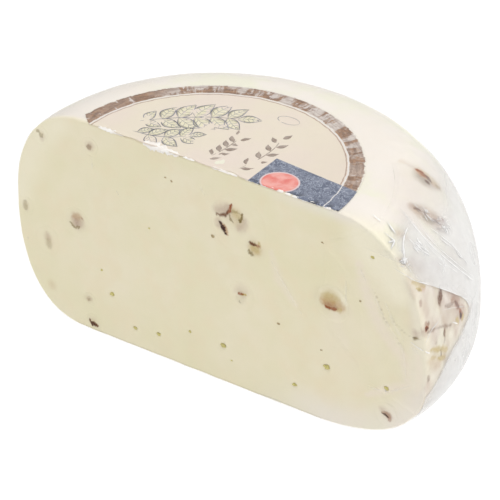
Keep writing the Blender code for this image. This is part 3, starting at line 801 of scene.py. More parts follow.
def label_finish():
    """Printed paper: cream field, bark-brown ring with two thin rules, and plain slate band with an oval.

    The ring and rules go by radius, and its grain by turn and radius. The band is a rectangle in axes
    turned about its middle, with slanting ends, and the oval is an ellipse in the same axes.
    """
    f = Finish("label_print")
    apart = f.add("SeparateXYZ", {0: f.place})
    x, y = f.minus(apart.outputs[0], LABEL_X), f.minus(apart.outputs[1], LABEL_Y)
    radius = f.length(x, y)
    shaky = f.shaken(radius, 0.003, 4.0, 0.65, 0.0012)
    frayed = f.shaken(radius, 0.0016, 4.0, 0.7, 0.0022)

    def edge(value, at, soft=0.00012):
        """0 below a place, 1 above it."""
        return f.span(value, at - soft, at + soft)

    def within(value, low, high, soft=0.00012):
        """1 between two places, 0 outside them."""
        return f.times(edge(value, low, soft), f.minus(1.0, edge(value, high, soft)))

    # Cream field, warmer and paler in clouds
    field = f.blend(f.span(f.noise(0.02, 2.0), 0.35, 0.65), paint(229, 218, 198), paint(229, 215, 201))
    field = f.blend(f.span(x, 0.010, 0.045, 0.0, 0.6), field, paint(224, 210, 193))
    # Bark ring: mauve-grey ground, brown patches, fine streaks, pale cracks and dark splits
    turn = f.times(f.step("ARCTAN2", y, x), 0.052)
    polar = f.add("CombineXYZ", {0: turn, 1: radius, 2: 0.0}).outputs[0]
    long_way, short_way = (
        f.add("Mapping", {0: polar, 3: scale}).outputs[0] for scale in ((1.0, 0.35, 1.0), (0.35, 1.4, 1.0))
    )
    patches = f.span(f.noise(0.0095, 5.0, 0.65, long_way), 0.47, 0.55)
    for low, high, most in ((-0.036, -0.046, 0.85), (0.032, 0.046, 0.6)):
        patches = f.step("MAXIMUM", patches, f.span(x, low, high, 0.0, most))
    streaks = f.span(f.noise(0.0016, 4.0, 0.6, short_way), 0.40, 0.62)
    ground = f.blend(streaks, paint(210, 200, 192), paint(180, 164, 154))
    bark = f.blend(streaks, paint(158, 118, 84), paint(120, 86, 60))
    crack = f.span(f.noise(0.0022, 4.0, 0.6, long_way), 0.60, 0.66)
    split = f.span(f.from_middle(f.noise(0.004, 4.0, 0.6, long_way)), 0.012, 0.0)
    ring = f.blend(crack, f.blend(patches, ground, bark), paint(212, 202, 196))
    ring = f.blend(f.times(split, 0.6), ring, paint(118, 84, 66))
    colour = f.blend(edge(shaky, RING_INNER, 0.0002), field, ring)
    colour = f.blend(edge(frayed, LABEL_RADIUS - 0.0004, 0.0002), colour, paint(236, 230, 218))
    colour = f.blend(within(shaky, *PALE_RULE), colour, paint(238, 229, 218))
    colour = f.blend(f.times(within(shaky, *THIN_RULE), 0.8), colour, paint(158, 122, 104))
    # Slate band, with crinkled pale veins and dark scuffs near the cut
    across, back = f.minus(apart.outputs[0], BAND_X), f.minus(apart.outputs[1], BAND_Y)
    cosine, sine = math.cos(BAND_TURN), math.sin(BAND_TURN)
    along = f.plus(f.times(across, cosine), f.times(back, sine))
    over = f.minus(f.times(back, cosine), f.times(across, sine))
    slant = f.plus(along, f.times(over, BAND_SLANT))
    band = f.times(within(slant, *BAND_ALONG), within(over, *BAND_OVER))
    winding = {"Vector": f.place, "Scale": 260.0, "Detail": 4.0, "Distortion": 2.2}
    vein = f.minus(1.0, f.span(f.from_middle(f.add("TexNoise", winding).outputs[0]), 0.0, 0.035))
    slate = f.blend(f.span(f.noise(0.003, 4.0, 0.6), 0.35, 0.65), paint(80, 90, 114), paint(114, 122, 142))
    slate = f.blend(f.times(vein, 0.7), slate, paint(184, 190, 204))
    scuffed = f.span(f.noise(0.0022, 4.0, 0.6), 0.50, 0.58)
    near_cut = f.span(apart.outputs[1], CUT_TOP_Y + 0.0045, CUT_TOP_Y + 0.0005)
    slate = f.blend(f.times(near_cut, scuffed), slate, paint(52, 56, 70))
    colour = f.blend(band, colour, slate)
    colour = f.blend(within(shaky, *RULE_ON_BAND), colour, paint(226, 222, 220))
    # Plain red oval on the band, with a pale rim
    oval = f.length(f.step("DIVIDE", f.minus(along, OVAL_ALONG), OVAL_LONG),
                    f.step("DIVIDE", f.minus(over, OVAL_OVER), OVAL_HIGH))
    red = f.blend(f.span(f.noise(0.004, 2.0), 0.3, 0.7), paint(228, 112, 100), paint(238, 168, 158))
    colour = f.blend(f.minus(1.0, edge(oval, 1.0, 0.03)), colour, red)
    colour = f.blend(within(oval, 0.98, 1.07, 0.02), colour, paint(224, 200, 200))
    shader = f.add("BsdfPrincipled", {
        "Base Color": colour, "Roughness": 0.6, "Normal": f.bump(f.noise(0.0008, 3.0), 0.00004),
    })
    return f.done(shader.outputs[0])


# ================================================================ closed skin over the half wheel
def cut_rim(height, sign):
    """How far across the knife's face reaches at each height, on the side that sign says."""
    back = CUT_FOOT_Y + CUT_LEAN * height
    return sign * halve(lambda across: outside_wheel(np.stack([sign * across, back, height], axis=-1)),
                        np.full(height.shape, 0.1))


def closed_skin(columns, rows, sweeps, sweep_power):
    """Points and faces of a closed surface over the whole half wheel.

    A grid covers the knife's face from rim to rim, finer at its rim. From its border, rings run back
    over the top, heel and base: each turns the border's directions from the heart toward straight
    back, where they meet in one point. Every direction is then cast onto the skin.
    """
    v = np.linspace(0, 1, rows)
    height = np.clip(0.5 * v + 0.25 * (1 - np.cos(np.pi * v)), 1e-5, 1 - 1e-5) * WHEEL_HEIGHT
    left, right = cut_rim(height, -1), cut_rim(height, 1)
    u = np.linspace(0, 1, columns)
    u = u - 0.55 * np.sin(2 * np.pi * u) / (2 * np.pi)
    across = left[:, None] + (right - left)[:, None] * u
    tall = np.broadcast_to(height[:, None], across.shape)
    face = np.stack([across, CUT_FOOT_Y + CUT_LEAN * tall, tall], axis=-1)
    border = grid_border(rows, columns)
    out = unit(face.reshape(-1, 3) - HEART)
    rim = out[border]
    turn = np.arccos(np.clip(rim[:, 1], -1, 1))
    angle = ((np.arange(1, sweeps) / sweeps) ** sweep_power)[:, None] * turn
    back = np.array((0.0, 1.0, 0.0))
    ring = (np.sin(turn - angle)[..., None] * rim + np.sin(angle)[..., None] * back) / np.sin(turn)[:, None]
    directions = np.concatenate([out, ring.reshape(-1, 3), back[None]])
    count, first = len(border), rows * columns
    loops = np.concatenate([border[None], first + np.arange((sweeps - 1) * count).reshape(-1, count)])
    ahead = np.roll(loops, -1, axis=1)
    sleeve = np.stack([loops[:-1], loops[1:], ahead[1:], ahead[:-1]], axis=-1).reshape(-1, 4)
    fan = np.stack([loops[-1], np.full(count, len(directions) - 1), ahead[-1]], axis=-1)
    return cast(HEART + directions), [grid_faces(rows, columns), sleeve, fan]


# ================================================================ walnut pieces
OUTLINE_BINS = 16


def read_crumb(node):
    """Place, axes, outline and depth of a CAD walnut piece, from its points that lie at the skin.

    Its long axis is the way in which they spread most, and its outline their farthest reach in each of
    some equal turns.
    """
    points = np.array([v.co for v in frame["nodes"][node].data.vertices], float)
    outside = np.maximum(outside_wheel(points), outside_knife(points))
    showing = points[np.abs(outside) < 1.5e-4]
    centre = (showing.min(0) + showing.max(0)) / 2
    normal = skin_normal(cast(centre))
    away = showing - centre
    flat = away - (away @ normal)[:, None] * normal
    long_axis = np.linalg.svd(flat - flat.mean(0), full_matrices=False)[2][0]
    across = np.cross(normal, long_axis)
    turn = np.arctan2(flat @ across, flat @ long_axis) / (2 * np.pi)
    reach = np.hypot(flat @ across, flat @ long_axis)
    bins = np.round(turn * OUTLINE_BINS).astype(int) % OUTLINE_BINS
    known = np.unique(bins)
    far = np.array([reach[bins == b].max() for b in known])
    depth = -((points - centre) @ normal).min()
    return {"centre": centre, "long": long_axis, "across": across, "normal": normal,
            "known": known / OUTLINE_BINS, "far": far, "depth": depth}


def crumb_reach(crumb, turn):
    """Radius of a walnut piece's outline at angles in turns."""
    return np.interp(turn % 1.0, crumb["known"], crumb["far"], period=1.0)


def crumb_cover(crumb, p):
    """How far points lie from a walnut piece's middle, as a share of its outline's reach."""
    away = p - crumb["centre"]
    x, y, z = away @ crumb["long"], away @ crumb["across"], away @ crumb["normal"]
    return np.hypot(np.hypot(x, y), z * 0.6) / crumb_reach(crumb, np.arctan2(y, x) / (2 * np.pi))


CRUMBS = {name: read_crumb(name) for name in frame["nodes"] if name.startswith("walnut_")}
SLOTS = {row["node"]: row["material_slot"] for row in frame["record"]["subparts"]}


def flat_places(crumb, rows):
    """Points on the skin from turns about a walnut piece, in degrees, and shares of its outline's reach."""
    turn = np.radians(np.array([row[0] for row in rows]))
    reach = crumb_reach(crumb, turn / (2 * np.pi)) * np.array([row[1] for row in rows])
    spread = np.outer(reach * np.cos(turn), crumb["long"]) + np.outer(reach * np.sin(turn), crumb["across"])
    return cast(crumb["centre"] + spread)


def rear_marks():
    """Marks of the walnut pieces at the rear, by a rule: halo, body, dark rim and a darker bit of it."""
    draw = np.random.default_rng(33)
    rim = [(step, 0.8) for step in (0, 40, 80, 120)]
    kinds = (("mauve", 0.9, 0.35, [(0, 0.4), (180, 0.5)]), ("tan", 0.6, 0.45, [(90, 0.4), (270, 0.4)]),
             ("umber", 0.22, 0.8, rim), ("bark", 0.16, 0.8, rim[1:3]))
    rows = []
    for name, crumb in CRUMBS.items():
        if name.startswith("walnut_back_"):
            size, turn = crumb["far"].min() * 1000, draw.uniform(0, 360)
            for tone, half, strength, places in kinds:
                line = flat_places(crumb, [(turn + step, share) for step, share in places])
                rows.append((tone, half * size, strength, line))
    return rows


def read_marks():
    """Every mark as its tone, strength, a line of points on the skin and the half width at each point."""
    rows = [(tone, half, strength, face_points(places)) for tone, half, strength, *places in FACE_MARKS]
    for tone, half, strength, *places in HEEL_MARKS:
        rows.append((tone, HEEL_SPREAD * half, strength, heel_points(places)))
    rows += rear_marks()
    count = MARK_POINTS
    taper = 0.6 + 0.4 * np.sin(np.pi * np.linspace(0, 1, count))
    return [(tone, strength, curved(line, count), half / 1000 * taper) for tone, half, strength, line in rows]


MARKS = read_marks()


def tone_shares(p):
    """Share of each tone at points: the most that a mark or a walnut piece gives there.

    A mark gives its strength along its line and eases to nothing at 1.8 half widths, by a distance that
    ripples fray. A walnut piece gives flesh inside its outline. The foot of the knife's face gets olive
    painted shade, a thin contact shadow.
    """
    shares = {tone: np.zeros(p.shape[:-1]) for tone in TONES}
    frayed = p + 0.00020 * np.stack([ripples(p, 0.0013, seed) for seed in (11, 12, 13)], axis=-1)
    for tone, strength, line, half in MARKS:
        middle = line.mean(0)
        reach = np.linalg.norm(line - middle, axis=-1).max() + 1.9 * half.max()
        near = np.linalg.norm(frayed - middle, axis=-1) < reach
        away = np.linalg.norm(frayed[near][:, None] - line, axis=-1) / half
        core = 0.7 * ease(0.0016, 0.0007, half.max())
        shares[tone][near] = np.maximum(shares[tone][near], strength * ease(1.8, core, away.min(-1)))
    for name, crumb in CRUMBS.items():
        near = np.linalg.norm(p - crumb["centre"], axis=-1) < 1.6 * crumb["far"].max()
        cover = crumb_cover(crumb, frayed[near])
        strength = FLESH.get(name, FLESH_BY_SLOT[SLOTS[name]])
        shares["flesh"][near] = np.maximum(shares["flesh"][near], strength * ease(1.25, 0.6, cover))
    # painted shade: olive along the foot of the knife's face stands for a thin contact shadow
    foot = 0.45 * ease(0.0015, 0.0003, p[..., 2]) * ease(0.0015, 0, -outside_knife(p))
    shares["olive"] = np.maximum(shares["olive"], foot)
    return shares


def rind_share(p):
    """How far the paste at the skin has turned to whiter rind.

    It eases in over the first few millimetres behind the knife's face. At the right, a softer rim also
    lies in the face itself, by the distance from the rind, and widens downward.
    """
    inward, back = -outside_wheel(p), -outside_knife(p)
    right = ease(0.01, 0.05, p[..., 0])
    wide = 0.006 + 0.009 * ease(0.060, 0.020, p[..., 2])
    inner_rim = 0.75 * right * ease(1.0, 0.1, inward / wide)
    return inner_rim + (1 - 0.75 * right) * ease(-0.0005, 0.0030 + 0.006 * right, back)


def stain_share(p):
    """How stained the paste is: a streaky blush in the film's window, or a walnut piece's halo if more."""
    side, height = side_of(p), p[..., 2] * 1000
    inside = ease(-9, -4, side) * ease(24, 15, side) * ease(14, 26, height) * ease(71, 63, height)
    streaks = 0.5 + 0.5 * ripples(p * np.array((1.0, 1.0, 0.35)), 0.004, 6)
    blush = 0.24 + 0.16 * streaks + 0.14 * ease(-3, 6, side)
    total = inside * ease(-0.002, 0.002, -outside_knife(p)) * blush
    for crumb in CRUMBS.values():
        near = np.linalg.norm(p - crumb["centre"], axis=-1) < 3.2 * crumb["far"].max()
        total[near] = np.maximum(total[near], 0.15 * ease(2.2, 0.8, crumb_cover(crumb, p[near])))
    return np.clip(total * (1 + 0.3 * ripples(p, 0.004, 5)), 0, 1)


def food_values(p):
    """Everything that the paste's colour needs at points."""
    return {"rind": rind_share(p), "stain": stain_share(p), **tone_shares(p)}


def make_walnut(name, number, material):
    """One broken walnut piece, cut nearly flush with the skin, with shallow folds.

    Rings run from the middle to a ragged outline along the skin, then down its side to a pole. The
    fold's depth is sharp-crested noise that ends before the rim, where the piece sinks under the paste.
    """
    crumb = CRUMBS[name]
    columns, levels = 72, 22
    turn = -np.arange(columns) / columns
    share = np.concatenate([np.linspace(0.06, 1.0, levels), [1.0, 0.92, 0.7, 0.4]])
    drop = np.concatenate([np.zeros(levels), [0.12, 0.35, 0.7, 0.92]]) * crumb["depth"]
    circle = np.stack([np.cos(2 * np.pi * turn), np.sin(2 * np.pi * turn)], axis=-1)
    ragged = 1 + 0.08 * ripples(circle, 1.1, number) + 0.05 * ripples(circle, 0.4, number + 50)
    out = share[:, None] * (crumb_reach(crumb, turn) * ragged)[None]
    flat = crumb["centre"] + out[..., None] * (
        circle[None, :, :1] * crumb["long"] + circle[None, :, 1:] * crumb["across"]
    )
    skin = cast(flat)
    size = crumb["far"].max()
    level = np.minimum(share, 1.0)[:, None]
    crests = wrinkles(flat, 0.55 * size, number + 7)
    creased = 0.04 * crests + 0.02 * np.abs(ripples(flat, 0.3 * size, number))
    folds = creased * size * ease(1.0, 0.75, level)
    merge = (PASTE_DEPTH - CRUMB_DEPTH + 0.00006) * ease(0.45, 1.0, level)
    rings = sink(skin, CRUMB_DEPTH + drop[:, None] + merge + folds)
    last = crumb["centre"] - crumb["normal"] * crumb["depth"]
    first = rings[0].mean(0)
    points, faces = capsule(rings[None], first[None], last[None])
    values = with_poles(food_values(skin[None]))
    dress(new_piece(name + "_piece", points, faces, values), material, SLOTS[name], name)


# ================================================================ cheese
def pits(p, places, depth_share):
    """Depth of small dents at places across and up the knife's face: a bell for each."""
    total = np.zeros(p.shape[:-1])
    for across, height, radius in places:
        middle = face_points((across, height))
        away = np.linalg.norm(p - middle, axis=-1) * 1000 / radius
        total += np.exp(-away ** 2) * radius / 1000 * depth_share
    return total


def paste_depth(p, rind):
    """How far the paste lies under the skin: slight relief, and small dents where whey weeps."""
    relief = PASTE_DEPTH + 0.00005 * ripples(p, 0.011, 3) + rind * 0.00008 * ripples(p, 0.017, 4)
    return relief + pits(p, EYES, 0.6)


def make_cheese(material):
    """Paste and rind: the closed skin, sunk a little, and a little more under the fine-meshed patches."""
    skin, faces = closed_skin(320, 150, 52, 1.6)
    values = food_values(skin)
    under = np.zeros(len(skin))
    for across, height, radius in FACE_DISCS:
        away = np.linalg.norm(skin - face_points((across, height)), axis=-1) * 1000 / radius
        under = np.maximum(under, ease(0.93, 0.80, away))
    (low, high), (flat, steep) = HEEL_PATCH_SIDES, HEEL_PATCH_TILTS
    side, tilt = side_of(skin), tilt_of(skin)
    inside = ease(low + 1, low + 3, side) * ease(high - 1, high - 4, side) * ease(flat + 1, flat + 4, tilt)
    under = np.maximum(under, inside * ease(steep - 1, steep - 4, tilt))
    depth = paste_depth(skin, values["rind"]) + 0.0002 * under
    dress(new_piece("cheese", sink(skin, depth), faces, values), material, "cheese", "cheese_half")


def sheet(grid, depth, thickness, values):
    """Closed thin sheet from a grid of skin points: points, faces and values for each point.

    Its upper side lies depth under the skin, its lower side thickness under that, and its faces are
    turned round if the grid runs the other way about the skin's normal.
    """
    normal = skin_normal(grid)
    top = grid - normal * depth[..., None]
    turn = np.cross(grid[:-1, 1:] - grid[:-1, :-1], grid[1:, :-1] - grid[:-1, :-1])
    points, faces = sewn(top, top - normal * thickness, (turn * normal[:-1, :-1]).sum() < 0)
    return points, faces, {key: np.tile(v.ravel(), 2) for key, v in values.items()}


def make_heel_patch(material):
    """Fine-meshed paste in the right of the heel, a hair over the cheese, with its border sunk into it."""
    columns, rows = 176, 172
    side, tilt = np.meshgrid(np.linspace(*HEEL_PATCH_SIDES, columns), np.linspace(*HEEL_PATCH_TILTS, rows))
    skin = heel_tilts(np.stack([side, tilt], axis=-1))
    u, v = np.linspace(-1, 1, columns), np.linspace(-1, 1, rows)[:, None]
    border = np.maximum(ease(0.93, 1.0, np.abs(u)), ease(0.95, 1.0, np.abs(v)))
    values = food_values(skin)
    depth = paste_depth(skin, values["rind"]) - 0.00003 + 0.00025 * border
    dress(new_piece("cheese_heel_patch", *sheet(skin, depth, 0.0004, values)), material, "cheese")


def make_face_patches(material):
    """Fine-meshed discs of paste round the marks in the knife's face, sunk at their rims; joined."""
    share = np.concatenate([np.linspace(0.03, 1.0, 44), [0.9, 0.5]])
    under = np.concatenate([np.zeros(44), [0.0005, 0.0008]])
    turn = -2 * np.pi * np.arange(96) / 96
    circle = np.stack([np.cos(turn), np.sin(turn)], axis=-1)
    places = np.array(FACE_DISCS)
    flat = places[:, None, None, :2] + places[:, None, None, 2:] * share[:, None, None] * circle
    skin = face_points(flat)
    values = food_values(skin)
    border = ease(0.85, 1.0, share)[:, None]
    rings = sink(skin, paste_depth(skin, values["rind"]) - 0.00003 + 0.00025 * border + under[:, None])
    points, faces = capsule(rings, rings[:, 0].mean(1), rings[:, -1].mean(1))
    dress(new_piece("cheese_face_patches", points, faces, with_poles(values)), material, "cheese")


def make_specks(name, places, depth, flatness, seed, material, slot):
    """Small uneven beads set in the knife's face, joined: squashed balls with ripples in their radius."""
    places = np.asarray(places, float)
    middle = face_points(places[:, :2])
    normal = skin_normal(middle)
    level = unit(np.cross(np.array((0.0, 0.0, 1.0)), normal))
    upright = np.cross(normal, level)
    rise = np.linspace(0, np.pi, 12)[1:-1]
    turn = -2 * np.pi * np.arange(18) / 18
    ball = np.stack([
        np.sin(rise)[:, None] * np.cos(turn), np.sin(rise)[:, None] * np.sin(turn),
        np.cos(rise)[:, None] * np.ones(18),
    ], axis=-1)
    shift = np.arange(len(places))[:, None, None, None] * 3.7
    radius = places[:, 2, None, None] / 1000 * (1 + 0.28 * ripples(ball[None] + shift, 1.4, seed))
    local = ball[None] * radius[..., None] * np.array((1.15, 0.8, flatness))
    base = (middle - normal * depth)[:, None, None]
    axes = enumerate((level, upright, normal))
    rings = base + sum(local[..., k:k + 1] * axis[:, None, None] for k, axis in axes)
    tip = places[:, 2:] / 1000 * flatness
    points, faces = capsule(rings, base[:, 0, 0] + normal * tip, base[:, 0, 0] - normal * tip)
    dress(new_piece(name, points, faces), material, slot)


# ================================================================ label
def label_front(x):
    """Where the paper's front edge lies: waves and roughness along the cut, and a slant torn at the left."""
    wave = 0.0007 * np.clip(ripples(x[..., None], 0.016, 66) + 0.2, 0, 1.6)
    rough = 0.0001 * ripples(x[..., None], 0.0014, 67)
    torn = 0.84 * np.maximum(LABEL_X - 0.0508 - x, 0.0)
    return CUT_TOP_Y + 0.0002 + wave + rough + torn


def label_sheet_points(columns, rows):
    """Grid over the paper: across by a sine, and back from the front edge to the arc."""
    def arc(x):
        """Where the round rim lies: the centre plus the root of the radius squared less x squared."""
        return LABEL_Y + np.sqrt(np.maximum(LABEL_RADIUS ** 2 - (x - LABEL_X) ** 2, 0.0))
    fine = np.linspace(LABEL_X - LABEL_RADIUS, LABEL_X + LABEL_RADIUS, 4001)
    on_paper = fine[arc(fine) > label_front(fine)]
    middle, half = (on_paper[0] + on_paper[-1]) / 2, (on_paper[-1] - on_paper[0]) / 2
    x = middle + half * np.sin(np.linspace(-1.5, 1.5, columns)) / math.sin(1.5)
    v = np.linspace(0, 1, rows)[:, None]
    y = label_front(x) + v * np.maximum(arc(x) - label_front(x), 0.00002)
    return np.stack([np.broadcast_to(x, y.shape), y, np.full(y.shape, WHEEL_HEIGHT)], axis=-1)


def make_label():
    """The paper: two slightly rippled layers of a grid, sewn together along the border."""
    top = label_sheet_points(260, 84)
    ripple = 0.000025 * ripples(top, 0.009, 31) + 0.000015 * ripples(top, 0.003, 32)
    top[..., 2] -= LABEL_DEPTH + 0.00004 + ripple
    points, faces = sewn(top, top - np.array((0, 0, PAPER)))
    dress(new_piece("label_paper", points, faces), label_finish(), "label_paper", "label")


def on_label(places):
    """Points in the plane of the wheel's top from millimetres across and back of the cut's foot."""
    x, y = places[..., 0] / 1000, CUT_FOOT_Y + places[..., 1] / 1000
    return np.stack([x, y, np.full(x.shape, WHEEL_HEIGHT)], axis=-1)


def make_print(name, lines, half_widths, material, rise=0.000012, depth=0.000085):
    """Drawn strokes on the label: low ridges along lines in millimetres."""
    points, faces, _ = ridges(on_label(np.stack(lines)), np.stack(half_widths), rise, depth, 6)
    dress(new_piece(name, points, faces), material, "label_paper")


def stroke(half_width):
    """The same half width all along a stroke."""
    return np.full(LEAF_POINTS, half_width)


LEAF_POINTS = 40      # along each rib, edge, vein and stem


def leaf(base, lean, length, bow):
    """A pointed leaf: its rib, its half width along the rib, its two edges and its slanting side veins.

    The rib bows by half a sine, and the half width is a sine of the way along, fuller near the base.
    """
    t = np.linspace(0, 1, LEAF_POINTS)[:, None]
    cross = np.array((-lean[1], lean[0]))
    rib = base + lean * length * t + cross * bow * np.sin(np.pi * t)
    swell = 0.27 * length * np.sin(np.pi * t ** 0.8) ** 1.1
    edges = [rib + cross * flank * swell for flank in (-1, 1)]
    veins = []
    for start in (8, 15, 22, 29):
        for flank in (-1, 1):
            tip = rib[start + 5] + cross * flank * swell[start + 5] * 0.85
            veins.append(np.linspace(rib[start], tip, LEAF_POINTS))
    return rib, swell[:, 0], edges, veins


def sprig(stem, pairs, slant, tip):
    """Stem and leaves of a sprig: leaves to each side at steps along the stem, and one at its tip."""
    stem = curved(stem, 5 * LEAF_POINTS)
    heading = unit(np.gradient(stem, axis=0))
    side = np.stack([-heading[:, 1], heading[:, 0]], axis=-1)
    leaves = [leaf(stem[-1], heading[-1], tip, 0.5)] if tip else []
    for start, length, *hands in pairs:
        for hand in hands:
            lean = unit(heading[start] * math.cos(slant) + side[start] * hand * math.sin(slant))
            leaves.append(leaf(stem[start], lean, length, 0.07 * length * hand))
    return stem[::5], leaves


# Stems, as points in mm across and back of the cut's foot; leaves, as step along the stem, length and sides
LARGE_SPRIG = ((-43.0, 15.0), (-37.0, 21.0), (-29.5, 27.5), (-21.5, 33.0), (-14.0, 36.5))
LARGE_PAIRS = ((20, 7.5, -1, 1), (52, 9.5, -1, 1), (84, 11.0, -1, 1), (116, 11.5, -1, 1),
               (148, 11.0, -1, 1), (180, 9.5, -1, 1))
SMALL_SPRIG = ((-40.0, 9.0), (-33.0, 10.0), (-26.0, 13.0), (-21.0, 17.5))
SMALL_PAIRS = ((20, 6.5, 1), (60, 8.0, -1, 1), (115, 8.5, -1, 1), (170, 8.0, -1, 1))
GARLANDS = (((6.5, 8.5), (8.5, 18.0), (8.5, 28.0), (5.5, 37.0)), ((-7.0, 8.0), (-5.5, 17.0), (-5.5, 27.0)))


def make_label_prints():
    """Two sprigs in blue-grey line with pale leaves, two garlands in grey-brown and a small oval."""
    ink = plain_finish("print_blue_grey", paint(144, 144, 156), paint(84, 86, 100), 0.004)
    pale = plain_finish("print_pale_leaf", paint(226, 219, 186), paint(232, 224, 198), 0.003)
    brown = plain_finish("print_grey_brown", paint(170, 154, 140), paint(144, 124, 108), 0.002)
    sprigs = (sprig(LARGE_SPRIG, LARGE_PAIRS, 0.9, 9.0), sprig(SMALL_SPRIG, SMALL_PAIRS, 0.8, 6.0))
    leaves = [row for _, some in sprigs for row in some]
    ribs = [rib for rib, _, _, _ in leaves]
    make_print("label_sprig_leaves", ribs, [swell / 1000 for _, swell, _, _ in leaves], pale)
    outlines = [stem for stem, _ in sprigs] + [line for _, _, edges, _ in leaves for line in edges]
    fine = ribs + [line for _, _, _, veins in leaves for line in veins]
    widths = [stroke(0.00018)] * len(outlines) + [stroke(0.00009)] * len(fine)
    make_print("label_sprig_lines", outlines + fine, widths, ink, 0.000012, 0.000068)
    by_turns = [(start, 5.2, 1 if k % 2 else -1) for k, start in enumerate(range(6, 196, 21))]
    garlands = [sprig(line, by_turns, 0.75, 0) for line in GARLANDS]
    leaves = [row for _, some in garlands for row in some]
    lines = [rib for rib, _, _, _ in leaves] + [stem for stem, _ in garlands]
    widths = [0.75 * swell / 1000 for _, swell, _, _ in leaves] + [stroke(0.00018)] * len(garlands)
    make_print("label_garlands", lines, widths, brown)
    turn = 2 * np.pi * np.linspace(0, 1.04, LEAF_POINTS)
    ring = np.stack([1.5 + 4.4 * np.cos(turn), 45.8 + 2.4 * np.sin(turn)], axis=-1)
    make_print("label_oval", [ring], [stroke(0.00010)], ink)


def torn_stretches():
    """Torn places along the cut: middle, half length, lap over the edge and reach back, in mm."""
    draw = np.random.default_rng(64)
    rows = [(-47.0, 5.0, 0.9, 0.9), (-42.5, 2.0, 0.5, 0.4), (-26.5, 5.5, 2.2, 3.2),
            (-20.5, 4.5, 1.6, 1.8), (-12.0, 2.5, 0.3, 0.5), (1.5, 3.5, 0.6, 0.7), (6.5, 2.5, 0.5, 0.5)]
    for middle in np.arange(14.0, 50.0, 3.3):
        rows.append((middle, draw.uniform(0.5, 1.6), draw.uniform(0.15, 0.6), draw.uniform(0.2, 1.0)))
    return np.array(rows)


def make_torn_edge():
    """Ragged flakes of white paper along the cut, each a thin strip that laps over the edge.

    Along a flake the lap swells and shrinks again with a ragged rim; across it, the flake is cast onto
    the skin and stands a little proud where it laps.
    """
    count, across = 90, 7
    middle, half, far, back = (column[:, None] for column in torn_stretches().T / 1000)
    along = np.linspace(-1, 1, count)
    x = middle + half * along
    swell = np.sqrt(np.maximum(1 - along ** 2, 0.0))
    waves = ((0.004, 62), (0.0012, 65), (0.003, 68))
    coarse, fine, rear = (ripples(x[..., None], size, seed) for size, seed in waves)
    lap = far * swell * np.clip(0.8 + 0.25 * coarse + 0.12 * fine, 0.2, 1.3)
    inner = back * swell * np.clip(0.8 + 0.35 * rear, 0.2, 1.4)
    way = np.linspace(-1, 1, across)
    reach = np.where(way < 0, way * inner[..., None], way * lap[..., None])
    start = np.stack([x, np.full(x.shape, CUT_TOP_Y + 0.0004), np.full(x.shape, WHEEL_HEIGHT)], axis=-1)
    behind = np.where(reach < 0, -reach, -0.0004 * (reach > 0))
    down = np.where(reach > 0, -reach, 0)
    flat = start[:, :, None] + np.stack([np.zeros(reach.shape), behind, down], axis=-1)
    skin = cast(flat)
    proud = 0.00003 + 0.00005 * np.clip(ripples(skin, 0.0015, 63), 0, 1)
    top = sink(skin, LABEL_DEPTH - proud)
    bottom = sink(skin, np.full(reach.shape, LABEL_DEPTH + PAPER))
    rings = np.concatenate([top, bottom[:, :, ::-1]], axis=2)
    points, faces = capsule(rings[:, 1:-1], rings[:, 0].mean(1), rings[:, -1].mean(1))
    white = plain_finish("torn_paper", paint(250, 247, 242), paint(243, 236, 228), 0.002, 0.8)
    dress(new_piece("label_torn_edge", points, faces), white, "label_paper")


# ================================================================ film
def heel_slack(p):
    """How loose the film is: most on the right of the heel, some at the rear, none in front and on top."""
    off_top = ease(0.0, 0.012, np.hypot(p[..., 0], p[..., 1] - AXIS_Y) - 0.052)
    heel = ease(0.0006, 0.006, -outside_knife(p)) * off_top
    right = ease(95.0, 45.0, side_of(p))
    return heel * (0.25 + 0.75 * right)


def make_film(material):
    """The first layer of film: the closed skin just outside the cheese, with ripples where it is slack."""
    skin, faces = closed_skin(200, 110, 110, 1.25)
    slack = heel_slack(skin)
    crest = wrinkles(skin * np.array((1.0, 1.0, 0.55)), 0.009, 71)
    rise = 0.00003 * (1 + ripples(skin, 0.02, 72))
    rise = rise + slack * (0.00007 * crest + 0.00002 * ripples(skin, 0.004, 73))
    rind = ease(0.0, 0.003, -outside_knife(skin))
    streaks = np.clip(0.5 + ripples(skin * np.array((1.0, 1.0, 0.4)), 0.006, 74), 0, 1)
    clear_top = ease(70.0, 77.0, skin[..., 2] * 1000)
    haze = 0.006 + 0.05 * rind + 0.06 * slack * streaks * (1 - 0.8 * clear_top)
    values = {"haze": haze, "cover": np.ones(len(skin)), "crinkle": 0.12 * slack}
    piece = new_piece("film", sink(skin, FILM_DEPTH - rise), faces, values)
    dress(piece, material, "film", "cheese_half")


def window_edge(count):
    """Skin points along the window's edge: down the upper edge to its corner, then down the lower edge."""
    upper = curved(heel_points(WINDOW_UPPER), count // 2)
    lower = curved(heel_points(WINDOW_LOWER), count - count // 2 + 1)
    return np.concatenate([upper, lower[1:]])


def panel_haze(p):
    """How milky the second layer is.

    Two creases, each a side for every height, part it into three panels with a value each. It is thicker
    low down, and thinner at the top and toward the knife's face.
    """
    side, height = side_of(p), p[..., 2] * 1000
    past_first, past_second = (
        ease(-0.6, 0.6, side - np.interp(height, *crease)) for crease in (FIRST_CREASE, SECOND_CREASE)
    )
    haze = 0.42 - 0.12 * past_first + 0.14 * past_second
    haze = haze + (0.10 - haze) * ease(68.0, 77.0, height) * past_first
    haze = haze + (0.53 - haze) * ease(64.0, 48.0, height)
    beside_knife = ease(55.0, 65.0, height) * ease(0.006, 0.0005, -outside_knife(p))
    return haze * (0.45 + 0.55 * ease(-7.0, 3.0, side)) * (1 - beside_knife)


